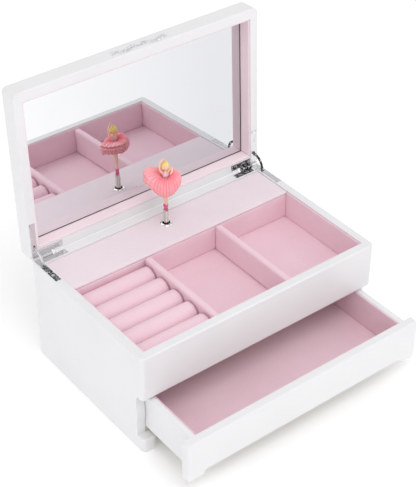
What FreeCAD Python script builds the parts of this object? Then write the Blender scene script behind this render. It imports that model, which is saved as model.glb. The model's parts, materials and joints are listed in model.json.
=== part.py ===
import FreeCAD, Part
import math
import os
import re

from FreeCAD import Placement, Rotation, Vector

# Wind-up music box: a jewellery case with a hinged mirror lid, a drawer, and a
# dancer turned by a spring-driven comb movement.
#
# Frame: millimetres, +Z up, the front faces -Y, and z = 0 is what the case stands on.
# The origin lies under the middle of the open box. Every moving piece is drawn at rest:
# the lid open on its stays, the drawer pulled out, the dancer upright.

# ---------------------------------------------------------------- driving dimensions
DIMENSIONS = {
    # case
    "case_width": 255.0,
    "case_depth": 164.0,
    "case_height": 104.5,
    "case_front": -64.6,
    "side_wall": 8.0,
    "fascia_wall": 8.0,
    "back_wall": 10.0,
    "fascia_bottom": 57.2,
    "panel_setback": 9.3,
    "panel_wave": 1.1,
    "foot_height": 14.0,
    "foot_width": 16.0,
    "base_bottom": 12.5,
    "base_top": 20.5,
    "middle_bottom": 57.4,
    "middle_top": 62.4,
    # tray
    "tray_underside": 70.8,
    "tray_top": 74.8,
    "tray_floor": 76.0,
    "lining": 1.5,
    "lining_top": 103.6,
    "deck_edge": 110.3,
    "deck_underside": 100.9,
    "deck_top": 103.9,
    "bay_wall": 3.0,
    "divider_width": 6.5,
    "divider_top": 102.9,
    "left_divider": -45.8,
    "right_divider": 33.2,
    "batten_width": 6.0,
    "roll_radius": 10.0,
    "roll_pitch": 20.1,
    "roll_base_top": 79.3,
    "eyelet_bore": 3.6,
    "eyelet_barrel": 4.3,
    "eyelet_flange": 5.8,
    # lid
    "lid_thickness": 19.6,
    "lid_gap": 0.3,
    "lid_open_angle": 92.5,
    "lid_rail": 9.5,
    "lid_corner": 5.0,
    "lid_top_underside": 15.5,
    "mirror_face": 13.5,
    # hinges
    "leaf_outer": 126.4,
    "leaf_width": 5.6,
    "leaf_length": 37.0,
    "leaf_back": 31.0,
    "leaf_thickness": 1.2,
    "leaf_start": 2.6,
    "back_leg_width": 6.0,
    "knuckle_radius": 2.2,
    "knuckle_length": 9.5,
    "hinge_pin": 0.8,
    "stay_radius": 12.0,
    "stay_width": 2.2,
    "stay_thickness": 1.2,
    "leaf_screw": 28.0,
    # drawer
    "drawer_pull": 61.5,
    "drawer_front": 8.0,
    "drawer_wall": 6.0,
    "drawer_outer": 119.0,
    "drawer_bottom": 20.8,
    "drawer_side_top": 55.6,
    "drawer_front_top": 56.6,
    "drawer_front_low": 14.7,
    "drawer_front_mid": 19.5,
    "drawer_end": 148.0,
    "drawer_floor": 2.5,
    "drawer_lining": 1.2,
    # movement
    "axis_height": 77.4,
    "spindle_back": 24.5,
    "bedplate": 2.0,
    "bedplate_left": 57.0,
    "bedplate_right": 19.0,
    "bedplate_low": 63.0,
    "bedplate_top": 95.8,
    "drum_radius": 13.8,
    "drum_length": 6.9,
    "crown_radius": 13.0,
    "arbor_radius": 1.8,
    "running_gap": 0.05,
    "pinion_outer": 3.9,
    "pinion_root": 2.3,
    "cylinder_radius": 6.5,
    "cylinder_inner": 20.0,
    "cylinder_outer": 38.0,
    "governor_drop": 9.0,
    "worm_offset": 6.25,
    "worm_station": 46.0,
    "key_width": 24.0,
    # dancer
    "spring_bottom": 104.9,
    "spring_top": 118.9,
    "spring_radius": 2.6,
    "tutu_radius": 20.5,
    "tutu_height": 151.0,
    "tutu_half": 5.5,
    "head_height": 165.5,
    "head_radius": 3.4,
}

DANCER_TOP = 174.5
ORNAMENT_X = 2.9
CROWN_TEETH = 48
PINION_TEETH = 12
CYLINDER_GEAR_TEETH = 36
GOVERNOR_PINION_TEETH = 9
WORM_WHEEL_TEETH = 24
WORM_STARTS = 2
COMB_TEETH = 18
ROLLS = 5

doc = FreeCAD.newDocument("music_box")
sheet = doc.addObject("Spreadsheet::Sheet", "dims")
for row, (alias, number) in enumerate(DIMENSIONS.items(), start=1):
    sheet.set(f"A{row}", alias)
    sheet.set(f"B{row}", str(number))
    sheet.setAlias(f"B{row}", alias)
doc.recompute()


def cell(alias):
    """The value of one cell of the sheet."""
    return float(sheet.get(alias))


# places that several pieces share
WIDE = cell("case_width") / 2
FRONT = cell("case_front")
BACK = FRONT + cell("case_depth")
RIM = cell("case_height")
INSIDE = WIDE - cell("side_wall")
TRAY_FRONT = FRONT + cell("fascia_wall")
DECK_EDGE = FRONT + cell("deck_edge")
BAY_BACK = BACK - cell("back_wall")
SPINDLE_Y = BACK - cell("spindle_back")
AXIS_Z = cell("axis_height")
PLATE_FACE = BAY_BACK - cell("bedplate")
CROWN_TIP = SPINDLE_Y + 2.95
DRUM_FACE = PLATE_FACE - 0.5 - cell("drum_length")
GOVERNOR_Z = AXIS_Z - cell("governor_drop")
WORM_X = -cell("worm_station")
WORM_Y = SPINDLE_Y - cell("worm_offset")
KEY_STATION = BACK + 1.5
STOP_X = 11.0
STOP_Y = BAY_BACK - 0.8
LID_PLACE = Placement(Vector(0, BACK, RIM), Rotation(Vector(1, 0, 0), -cell("lid_open_angle")))

parts = []


# ---------------------------------------------------------------- helpers
def formula(text):
    """A formula of sheet cells: each alias in it gets the sheet's name."""
    return re.sub(r"[a-z_]+", lambda word: "dims." + word.group(0), text)


def bind(item, **formulas):
    """Binds properties of an object to formulas of sheet cells."""
    for name, text in formulas.items():
        path = f".Placement.Base.{name}" if name in ("x", "y", "z") else name
        item.setExpression(path, formula(text))


def named(item, label, place=None):
    """Makes an object one of the sub-parts, with its own label and placement."""
    item.Label = label
    if place is not None:
        item.Placement = place
    parts.append(item)
    return item


def block(name, length, width, height, x, y, z):
    """A board from its three sizes and its lowest corner, all formulas."""
    item = doc.addObject("Part::Box", name)
    bind(item, Length=length, Width=width, Height=height, x=x, y=y, z=z)
    return item


def solid_box(name, low, high):
    """A board from its lowest and highest corners, as worked-out places."""
    item = doc.addObject("Part::Box", name)
    item.Length = high[0] - low[0]
    item.Width = high[1] - low[1]
    item.Height = high[2] - low[2]
    item.Placement.Base = Vector(*low)
    return item


def rod(name, radius, start, direction, length):
    """A round bar from a start point along a direction."""
    item = doc.addObject("Part::Cylinder", name)
    item.Radius = radius
    item.Height = length
    item.Placement = Placement(Vector(*start), Rotation(Vector(0, 0, 1), Vector(*direction)))
    return item


def ring_sector(name, inner, outer, x, thickness, centre, start, stop):
    """Part of a ring about an axis along X, from one angle to another, measured from +Y to +Z."""
    turn = math.radians(start)
    x_way = Vector(0, math.cos(turn), math.sin(turn))
    y_way = Vector(0, -math.sin(turn), math.cos(turn))
    place = Placement(Vector(x, centre[0], centre[1]), Rotation(x_way, y_way, Vector(1, 0, 0), "ZXY"))
    solids = []
    for tag, radius in (("outer", outer), ("inner", inner)):
        item = doc.addObject("Part::Cylinder", name + "_" + tag)
        item.Radius = radius
        item.Height = thickness
        item.Angle = stop - start
        item.Placement = place
        solids.append(item)
    return cut(name, solids[0], [solids[1]])


def fuse(name, items):
    item = doc.addObject("Part::MultiFuse", name)
    item.Shapes = items
    return item


def cut(name, base, tools):
    item = doc.addObject("Part::Cut", name)
    item.Base = base
    item.Tool = tools[0] if len(tools) == 1 else fuse(name + "_tools", tools)
    return item


def group(name, items):
    """Like pieces that share one node, each its own solid."""
    item = doc.addObject("Part::Compound", name)
    item.Links = items
    return item


def rounded(name, base, radius, chosen):
    """Rounds the edges of a piece for which chosen(edge) holds."""
    doc.recompute()
    edges = [(n, radius, radius) for n, edge in enumerate(base.Shape.Edges, start=1) if chosen(edge)]
    if not edges:
        raise ValueError(name + " has no edge to round")
    item = doc.addObject("Part::Fillet", name)
    item.Base = base
    item.Edges = edges
    return item


def along(axis):
    """Chooses straight edges that run along one axis."""
    def chosen(edge):
        ends = [v.Point for v in edge.Vertexes]
        if len(ends) != 2 or not isinstance(edge.Curve, Part.Line):
            return False
        way = (ends[1] - ends[0]).normalize()
        return abs(abs(way["XYZ".index(axis)]) - 1) < 1e-6
    return chosen


def near(edge, axis, place, slack=0.01):
    return abs(edge.CenterOfMass["XYZ".index(axis)] - place) < slack


def sketch_on(body, role, offset=0.0):
    """A sketch on one of a body's own origin planes."""
    plane = next(item for item in body.Origin.OriginFeatures if item.Role == role)
    sketch = body.newObject("Sketcher::SketchObject", body.Name + "_sketch")
    sketch.AttachmentSupport = [(plane, "")]
    sketch.MapMode = "FlatFace"
    sketch.AttachmentOffset = Placement(Vector(0, 0, offset), Rotation())
    return sketch


def draw(sketch, start, *steps):
    """Draws a closed outline: a point is a straight run, a pair of points an arc."""
    here = start
    for step in steps + (start,):
        if isinstance(step[0], tuple):
            middle, end = step
            sketch.addGeometry(Part.Arc(flat(here), flat(middle), flat(end)), False)
        elif step != here:
            end = step
            sketch.addGeometry(Part.LineSegment(flat(here), flat(end)), False)
        here = end


def flat(point):
    return Vector(point[0], point[1], 0)


def circle(sketch, x, y, radius):
    sketch.addGeometry(Part.Circle(Vector(x, y, 0), Vector(0, 0, 1), radius), False)


def pad(body, sketch, length, midplane=False, reverse=False):
    item = body.newObject("PartDesign::Pad", body.Name + "_pad")
    item.Profile = sketch
    item.Midplane = midplane
    item.Reversed = reverse
    item.setExpression("Length", formula(length))
    doc.recompute()
    return item


def pocket(body, sketch, length, reverse=False):
    """Cuts a sketch into a body, and makes sure that it removed something."""
    before = body.Shape.Volume
    item = body.newObject("PartDesign::Pocket", body.Name + "_pocket")
    item.Profile = sketch
    item.Length = length
    item.Reversed = reverse
    doc.recompute()
    if body.Shape.Volume >= before - 1e-6:
        raise ValueError(body.Name + ": the pocket cut nothing")
    return item


def fillet_body(body, radius, chosen):
    edges = [f"Edge{n}" for n, edge in enumerate(body.Shape.Edges, start=1) if chosen(edge)]
    base = body.Tip
    item = body.newObject("PartDesign::Fillet", body.Name + "_fillet")
    item.Base = (base, edges)
    item.Radius = radius
    doc.recompute()
    return item


def new_body(name):
    return doc.addObject("PartDesign::Body", name)


def toothed(name, teeth, root, outer, blade, height, origin, x_way, axis, bore=0.0):
    """A wheel with thin straight teeth, the first of them along x_way."""
    y_way = axis.cross(x_way)
    hub = Part.makeCylinder(root, height)
    blades = []
    for n in range(teeth):
        tooth = Part.makeBox(outer - root + 0.4, blade, height, Vector(root - 0.4, -blade / 2, 0))
        tooth.rotate(Vector(), Vector(0, 0, 1), 360 * n / teeth)
        blades.append(tooth)
    wheel = hub.fuse(blades).removeSplitter()
    if bore:
        wheel = wheel.cut(Part.makeCylinder(bore, height))
    wheel.Placement = Placement(origin, Rotation(x_way, y_way, axis, "ZXY"))
    return wheel


def feature(name, shape):
    item = doc.addObject("Part::Feature", name)
    item.Shape = shape
    return item


# ---------------------------------------------------------------- hinge tools, shared by case and lid
def knuckle_room(name, side, centre):
    """The round space about the hinge axis that the knuckles turn in, at one corner."""
    start = side * INSIDE - (15.6 if side > 0 else 8.4)
    return rod(name, 3.2, (start, centre[0], centre[1]), (1, 0, 0), 24.0)


def leaf_plates(name, side, low, y_back, grow=0.0):
    """The two legs of one hinge leaf as boards that overlap at the corner."""
    outer = cell("leaf_outer")
    width = cell("leaf_width")
    thick = cell("leaf_thickness")
    start = y_back - cell("leaf_start")
    near_x = side * outer
    side_leg = sorted((near_x, near_x - side * width))
    back_leg = sorted((near_x, near_x - side * cell("leaf_back")))
    top = low + thick
    tip = y_back - cell("leaf_length")
    inner = start - cell("back_leg_width")
    return [
        solid_box(name + "_side", (side_leg[0] - grow, tip, low), (side_leg[1] + grow, start, top)),
        solid_box(name + "_back", (back_leg[0] - grow, inner, low), (back_leg[1] + grow, start, top)),
    ]


def hinge_leaf(name, side, low, centre, knuckle_from, mirror_z, place=None):
    """One leaf: two legs with rounded tips, a tongue and a knuckle, holes and a stay slot."""
    y_axis, z_axis = centre
    outer = cell("leaf_outer")
    width = cell("leaf_width")
    thick = cell("leaf_thickness")
    top = low + thick
    start = y_axis - cell("leaf_start")
    tip = y_axis - cell("leaf_length")
    plates = leaf_plates(name, side, low, y_axis)
    plates[0] = rounded(name + "_tip", plates[0], 2.7, lambda e: along("Z")(e) and near(e, "Y", tip))
    back_end = side * (outer - cell("leaf_back"))
    plates[1] = rounded(name + "_end", plates[1], 2.9, lambda e: along("Z")(e) and near(e, "X", back_end))
    length = cell("knuckle_length")
    x_low = min(side * knuckle_from, side * (knuckle_from - length))
    tongue = solid_box(name + "_tongue", (x_low, start, low), (x_low + length, y_axis, top))
    knuckle = rod(name + "_knuckle", cell("knuckle_radius"), (x_low, y_axis, z_axis), (1, 0, 0), length)
    whole = fuse(name + "_plates", plates + [tongue, knuckle])
    middle = side * (outer - width / 2)
    slot_low = (middle - 0.85, y_axis - 14.6, low - 1)
    slot = solid_box(name + "_slot", slot_low, (middle + 0.85, y_axis - 9.4, top + 1))
    bore = cell("hinge_pin") + (cell("running_gap") if mirror_z else 0.0)
    back_hole = (side * 101.0, start - cell("back_leg_width") / 2, low - 1)
    holes = [
        slot,
        rod(name + "_bore", bore, (x_low - 1, y_axis, z_axis), (1, 0, 0), length + 2),
        rod(name + "_hole", 1.6, (middle, y_axis - cell("leaf_screw"), low - 1), (0, 0, 1), thick + 2),
        rod(name + "_hole_back", 1.6, back_hole, (0, 0, 1), thick + 2),
    ]
    return named(cut(name, whole, holes), name, place)


def screw(name, x, y, top, way):
    """A small countersunk wood screw whose flat head ends at a given height."""
    head = doc.addObject("Part::Cone", name + "_head")
    head.Radius1 = 1.55
    head.Radius2 = 0.95
    head.Height = 1.0
    head.Placement = Placement(Vector(x, y, top), Rotation(Vector(0, 0, 1), Vector(0, 0, way)))
    shank = rod(name + "_shank", 0.95, (x, y, top + way * 0.9), (0, 0, way), 8.0)
    return fuse(name, [head, shank])


# ---------------------------------------------------------------- case
def side_panel(name, side):
    """Side wall with a softly waved front edge below the fascia."""
    body = new_body(name + "_body")
    sketch = sketch_on(body, "YZ_Plane", side * INSIDE)
    setback = FRONT + cell("panel_setback")
    low = cell("fascia_bottom")
    draw(
        sketch,
        (setback, 0.0),
        (setback, 28.0),
        ((setback - cell("panel_wave"), 38.0), (setback, 48.0)),
        (setback, low),
        (TRAY_FRONT, low),
        (TRAY_FRONT, RIM),
        (BACK, RIM),
        (BACK, 0.0),
    )
    pad(body, sketch, "side_wall", reverse=side < 0)
    fillet_body(body, 2.5, lambda e: along("Z")(e) and near(e, "X", side * WIDE) and near(e, "Y", BACK))
    fillet_body(body, 1.2, lambda e: along("Y")(e) and near(e, "X", side * WIDE) and near(e, "Z", RIM))
    rim = [
        knuckle_room(name + "_knuckles", side, (BACK, RIM)),
        ring_sector(name + "_stay", 10.5, 13.5, side * 123.6 - 0.85, 1.7, (BACK, RIM), 178, 242),
    ]
    rim += leaf_plates(name + "_mortise", side, RIM - cell("leaf_thickness"), BACK)
    named(cut(name + "_wall", body, rim), name)


def back_panel():
    """Back wall, with the hole for the winding shaft."""
    board = block("back_board", "case_width - 2 * side_wall", "back_wall", "case_height",
                  "side_wall - case_width / 2", "case_front + case_depth - back_wall", "0")
    tools = [rod("key_hole", 3.4, (0, BAY_BACK - 1, AXIS_Z), (0, 1, 0), cell("back_wall") + 2)]
    for tag, side in (("left", -1), ("right", 1)):
        tools.append(knuckle_room(f"back_{tag}_knuckles", side, (BACK, RIM)))
        tools += leaf_plates(f"back_{tag}_mortise", side, RIM - cell("leaf_thickness"), BACK)
    named(cut("back_wall_board", board, tools), "back_panel")


def front_fascia():
    """Upper front: a full-width board with soft edges."""
    body = new_body("front_fascia_body")
    sketch = sketch_on(body, "XZ_Plane", -FRONT)
    low = cell("fascia_bottom")
    r = 3.0
    k = r * (1 - math.sqrt(0.5))
    draw(
        sketch,
        (-WIDE, RIM),
        (-WIDE, low + r),
        ((-WIDE + k, low + k), (-WIDE + r, low)),
        (WIDE - r, low),
        ((WIDE - k, low + k), (WIDE, low + r)),
        (WIDE, RIM),
    )
    pad(body, sketch, "fascia_wall", reverse=True)
    fillet_body(body, 4.0, lambda e: along("Z")(e) and near(e, "Y", FRONT))
    fillet_body(body, 1.4, lambda e: near(e, "Z", RIM, 0.2) and e.CenterOfMass.y < TRAY_FRONT - 0.1
                and abs(e.BoundBox.ZLength) < 0.01 and abs(e.CenterOfMass.x) < WIDE)
    named(body, "front_fascia")


def feet():
    """Two front corner feet, rounded in plan."""
    items = []
    for side in (-1, 1):
        body = new_body("foot_left" if side < 0 else "foot_right")
        sketch = sketch_on(body, "XY_Plane")
        inner = side * (WIDE - cell("foot_width"))
        rear = FRONT + cell("panel_setback")
        outer = side * WIDE
        draw(
            sketch,
            (outer, rear),
            (outer, FRONT + 4.0),
            ((outer - side * 1.2, FRONT + 1.2), (outer - side * 4.0, FRONT)),
            (outer - side * 9.5, FRONT),
            ((outer - side * 14.0, FRONT + 2.2), (inner, rear)),
        )
        pad(body, sketch, "foot_height")
        fillet_body(body, 1.2, lambda e: near(e, "Z", cell("foot_height")) and e.CenterOfMass.y < rear - 0.1
                    and abs(e.CenterOfMass.x) > abs(inner) - 0.1)
        items.append(body)
    named(group("feet_pair", items), "front_feet")


def boards():
    """The flat boards inside the case."""
    named(block("middle_panel", "case_width - 2 * side_wall", "case_depth - back_wall - fascia_wall",
                "middle_top - middle_bottom", "side_wall - case_width / 2", "case_front + fascia_wall",
                "middle_bottom"), "middle_board")
    named(block("base_panel_board", "case_width - 2 * side_wall", "case_depth - back_wall - panel_setback",
                "base_top - base_bottom", "side_wall - case_width / 2", "case_front + panel_setback",
                "base_bottom"), "base_panel")
    named(block("tray_board", "case_width - 2 * side_wall", "deck_edge + 1.2 - fascia_wall",
                "tray_top - tray_underside", "side_wall - case_width / 2", "case_front + fascia_wall",
                "tray_underside"), "tray_floor")
    named(block("bay_wall_board", "case_width - 2 * side_wall", "bay_wall", "deck_underside - middle_top",
                "side_wall - case_width / 2", "case_front + deck_edge + 1.2", "middle_top"), "bay_front_wall")
    battens = []
    places = {
        "left": "side_wall - case_width / 2",
        "right": "case_width / 2 - side_wall - batten_width",
    }
    for tag, x in places.items():
        battens.append(block(f"tray_batten_{tag}", "batten_width", "deck_edge - fascia_wall",
                             "tray_underside - middle_top", x, "case_front + fascia_wall", "middle_top"))
        battens.append(block(f"deck_cleat_{tag}", "batten_width",
                             "case_depth - back_wall - deck_edge - 1.2 - bay_wall", "8",
                             x, "case_front + deck_edge + 1.2 + bay_wall", "deck_underside - 8"))
    named(group("batten_set", battens), "support_battens")


def music_deck():
    """Padded board over the movement bay, with holes for the dancer and the stop wire."""
    board = block("deck_board", "case_width - 2 * side_wall", "case_depth - back_wall - deck_edge",
                  "deck_top - deck_underside", "side_wall - case_width / 2", "case_front + deck_edge",
                  "deck_underside")
    soft = rounded("deck_soft", board, 1.6, lambda e: along("X")(e) and near(e, "Y", DECK_EDGE)
                   and near(e, "Z", cell("deck_top")))
    holes = [
        rod("deck_dancer_hole", cell("eyelet_barrel"), (0, SPINDLE_Y, 90), (0, 0, 1), 20),
        rod("deck_stop_hole", 0.7, (STOP_X, STOP_Y, 90), (0, 0, 1), 20),
    ]
    named(cut("deck_holed", soft, holes), "music_deck")


def spindle_eyelet():
    """Turned metal ring that lines the dancer's hole."""
    body = new_body("eyelet_body")
    sketch = sketch_on(body, "XZ_Plane")
    bore = cell("eyelet_bore")
    barrel = cell("eyelet_barrel")
    flange = cell("eyelet_flange")
    top = cell("deck_top")
    draw(
        sketch,
        (bore, cell("deck_underside")),
        (barrel, cell("deck_underside")),
        (barrel, top),
        (flange, top),
        ((flange - 0.9, top + 0.6), (bore + 0.3, top + 0.7)),
        (bore, top + 0.4),
    )
    turn = body.newObject("PartDesign::Revolution", "eyelet_turn")
    turn.Profile = sketch
    turn.ReferenceAxis = (sketch, ["V_Axis"])
    turn.Angle = 360
    doc.recompute()
    named(body, "spindle_eyelet", Placement(Vector(0, SPINDLE_Y, 0), Rotation()))


def tray_linings():
    """Velvet-covered card on the tray's floor and its four walls."""
    items = [
        block("lining_floor", "case_width - 2 * side_wall", "deck_edge + 1.2 - fascia_wall",
              "tray_floor - tray_top", "side_wall - case_width / 2", "case_front + fascia_wall", "tray_top"),
        block("lining_front", "case_width - 2 * side_wall", "lining", "lining_top - tray_floor",
              "side_wall - case_width / 2", "case_front + fascia_wall", "tray_floor"),
        block("lining_back", "case_width - 2 * side_wall", "lining", "deck_underside - tray_floor",
              "side_wall - case_width / 2", "case_front + deck_edge + 1.2 - lining", "tray_floor"),
    ]
    places = {"left": "side_wall - case_width / 2", "right": "case_width / 2 - side_wall - lining"}
    for tag, x in places.items():
        items.append(block(f"lining_{tag}", "lining", "deck_edge - 0.3 - fascia_wall - lining",
                           "lining_top - tray_floor", x, "case_front + fascia_wall + lining", "tray_floor"))
    named(group("tray_lining_set", items), "tray_linings")


def tray_dividers():
    """Two padded walls between the three compartments."""
    items = []
    for tag, x in (("left", "left_divider"), ("right", "right_divider")):
        board = block(f"divider_{tag}_board", "divider_width", "deck_edge - 0.3 - fascia_wall - lining",
                      "divider_top - tray_floor", x, "case_front + fascia_wall + lining", "tray_floor")
        items.append(rounded(f"divider_{tag}", board, 2.6, lambda e: along("Y")(e)
                             and near(e, "Z", cell("divider_top"))))
    named(group("divider_pair", items), "tray_dividers")


def ring_rolls():
    """Five padded rolls on a card base, in the left compartment."""
    left = -INSIDE + cell("lining") + 0.2
    length = cell("left_divider") - 0.2 - left
    across = "left_divider - 0.4 + case_width / 2 - side_wall - lining"
    base = block("roll_card", across, "deck_edge - 0.6 - fascia_wall - lining",
                 "roll_base_top - tray_floor", "side_wall + lining + 0.2 - case_width / 2",
                 "case_front + fascia_wall + lining + 0.1", "tray_floor")
    named(base, "ring_roll_base")
    items = []
    for n in range(ROLLS):
        y = TRAY_FRONT + cell("lining") + cell("roll_pitch") * (n + 0.5)
        z = cell("roll_base_top") + cell("roll_radius")
        roll = rod(f"roll_{n + 1}", cell("roll_radius"), (left, y, z), (1, 0, 0), length)
        bind(roll, Radius="roll_radius", Height=across)
        items.append(roll)
    named(group("roll_set", items), "ring_rolls")


def case_hinges():
    """Case leaves let into the rim, and their screws."""
    screws = []
    bottom = RIM - cell("leaf_thickness")
    for tag, side in (("left", -1), ("right", 1)):
        hinge_leaf(f"{tag}_case_hinge_leaf", side, bottom, (BACK, RIM), cell("leaf_outer"), False)
        middle = side * (cell("leaf_outer") - cell("leaf_width") / 2)
        back_y = BACK - cell("leaf_start") - cell("back_leg_width") / 2
        screws.append(screw(f"case_screw_{tag}_side", middle, BACK - cell("leaf_screw"), RIM - 0.05, -1))
        screws.append(screw(f"case_screw_{tag}_back", side * 101.0, back_y, RIM - 0.05, -1))
    named(group("case_screw_set", screws), "case_hinge_screws")


# ---------------------------------------------------------------- lid, drawn closed about its hinge axis
def lid_board(name, x0, x1, s0, s1, t0, t1):
    """A board of the lid: s runs from the hinge axis to the free edge, t up from the rim."""
    return solid_box(name, (x0, -s1, t0), (x1, -s0, t1))


def lid():
    """Rails, top panel, mirror, linings, hinge leaves and screws, hung open on the hinge axis."""
    gap = cell("lid_gap")
    depth = cell("case_depth")
    rail = cell("lid_rail")
    under = cell("lid_top_underside")
    corner = cell("lid_corner")
    lining = cell("lining")
    face = cell("mirror_face")
    for tag, side in (("left", -1), ("right", 1)):
        x0, x1 = sorted((side * WIDE, side * INSIDE))
        board = lid_board(f"lid_rail_{tag}_board", x0, x1, gap, depth, gap, under)
        soft = rounded(f"lid_rail_{tag}_soft", board, corner, lambda e: along("Z")(e)
                       and near(e, "X", side * WIDE) and near(e, "Y", -depth))
        tools = [
            knuckle_room(f"lid_{tag}_knuckles", side, (0, 0)),
            ring_sector(f"lid_{tag}_stay", 10.5, 13.5, side * 123.6 - 0.85, 1.7, (0, 0), 118, 182),
        ]
        tools += leaf_plates(f"lid_{tag}_mortise", side, gap, 0.0)
        named(cut(f"lid_rail_{tag}_cut", soft, tools), f"lid_rail_{tag}", LID_PLACE)
    back_tools = []
    for tag, side in (("left", -1), ("right", 1)):
        back_tools.append(knuckle_room(f"lid_back_{tag}_knuckles", side, (0, 0)))
        back_tools += leaf_plates(f"lid_back_{tag}_mortise", side, gap, 0.0)
    back_board = lid_board("lid_rail_back_board", -INSIDE, INSIDE, gap, rail, gap, under)
    named(cut("lid_rail_back_cut", back_board, back_tools), "lid_rail_back", LID_PLACE)
    front_board = lid_board("lid_rail_front_board", -INSIDE, INSIDE, depth - rail, depth, gap, under)
    named(rounded("lid_rail_front_soft", front_board, 0.8, lambda e: along("X")(e) and near(e, "Y", -depth)
                  and near(e, "Z", gap)), "lid_rail_front", LID_PLACE)
    top = lid_board("lid_top_board", -WIDE, WIDE, gap, depth, under, cell("lid_thickness"))
    corners = rounded("lid_top_corners", top, corner, lambda e: along("Z")(e) and near(e, "Y", -depth))
    soft_top = rounded("lid_top_soft", corners, 2.6, lambda e: near(e, "Z", cell("lid_thickness")))
    named(soft_top, "lid_top_panel", LID_PLACE)
    half = INSIDE - 0.2
    mirror = lid_board("lid_mirror_glass", -half, half, rail + 0.2, depth - rail - 0.2, face, under)
    named(rounded("lid_mirror_soft", mirror, 0.4, along("Z")), "lid_mirror", LID_PLACE)
    near_s = rail + lining
    far_s = depth - rail - lining
    strips = [
        lid_board("lid_lining_back", -INSIDE, INSIDE, rail, near_s, 1.0, face),
        lid_board("lid_lining_front", -INSIDE, INSIDE, far_s, depth - rail, 1.0, face),
        lid_board("lid_lining_left", -INSIDE, -INSIDE + lining, near_s, far_s, 1.0, face),
        lid_board("lid_lining_right", INSIDE - lining, INSIDE, near_s, far_s, 1.0, face),
    ]
    named(group("lid_lining_set", strips), "lid_linings", LID_PLACE)
    screws = []
    inner = cell("leaf_outer") - cell("knuckle_length") - 0.2
    for tag, side in (("left", -1), ("right", 1)):
        hinge_leaf(f"{tag}_lid_hinge_leaf", side, gap, (0.0, 0.0), inner, True, LID_PLACE)
        middle = side * (cell("leaf_outer") - cell("leaf_width") / 2)
        back_y = -cell("leaf_start") - cell("back_leg_width") / 2
        screws.append(screw(f"lid_screw_{tag}_side", middle, -cell("leaf_screw"), gap + 0.05, 1))
        screws.append(screw(f"lid_screw_{tag}_back", side * 101.0, back_y, gap + 0.05, 1))
    named(group("lid_screw_set", screws), "lid_hinge_screws", LID_PLACE)


def lid_ornament():
    """Thin metal filigree strip on the lid's front edge: plain dots between two rails."""
    body = new_body("ornament_body")
    sketch = sketch_on(body, "XZ_Plane", cell("case_depth"))
    half = 26.2
    low = 4.4
    high = 9.6
    middle = (low + high) / 2
    left = ORNAMENT_X - half
    right = ORNAMENT_X + half
    draw(sketch, (left, low), (right, low), ((right + 2.6, middle), (right, high)), (left, high),
         ((left - 2.6, middle), (left, low)))
    for n in range(13):
        circle(sketch, ORNAMENT_X + (n - 6) * 4.0, middle, 1.15)
    pad(body, sketch, "0.5")
    named(body, "lid_ornament", LID_PLACE)


def hinge_pins_and_stays():
    """The two hinge pins, and the quadrant stays that slide in both leaves."""
    pins = []
    stays = []
    reach = 7.0
    start = 180 - cell("lid_open_angle") - reach
    inner = cell("stay_radius") - cell("stay_width") / 2
    outer = cell("stay_radius") + cell("stay_width") / 2
    thick = cell("stay_thickness")
    length = 2 * cell("knuckle_length") + 0.2
    centre = (BACK, RIM)
    for tag, side in (("left", -1), ("right", 1)):
        x0 = min(side * cell("leaf_outer"), side * (cell("leaf_outer") - length))
        pins.append(rod(f"hinge_pin_{tag}", cell("hinge_pin"), (x0, BACK, RIM), (1, 0, 0), length))
        x = side * (cell("leaf_outer") - cell("leaf_width") / 2) - thick / 2
        stays.append(ring_sector(f"stay_{tag}", inner, outer, x, thick, centre, start, 180 + reach))
    named(group("hinge_pin_pair", pins), "hinge_pins")
    named(group("stay_pair", stays), "stay_arms")


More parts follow.
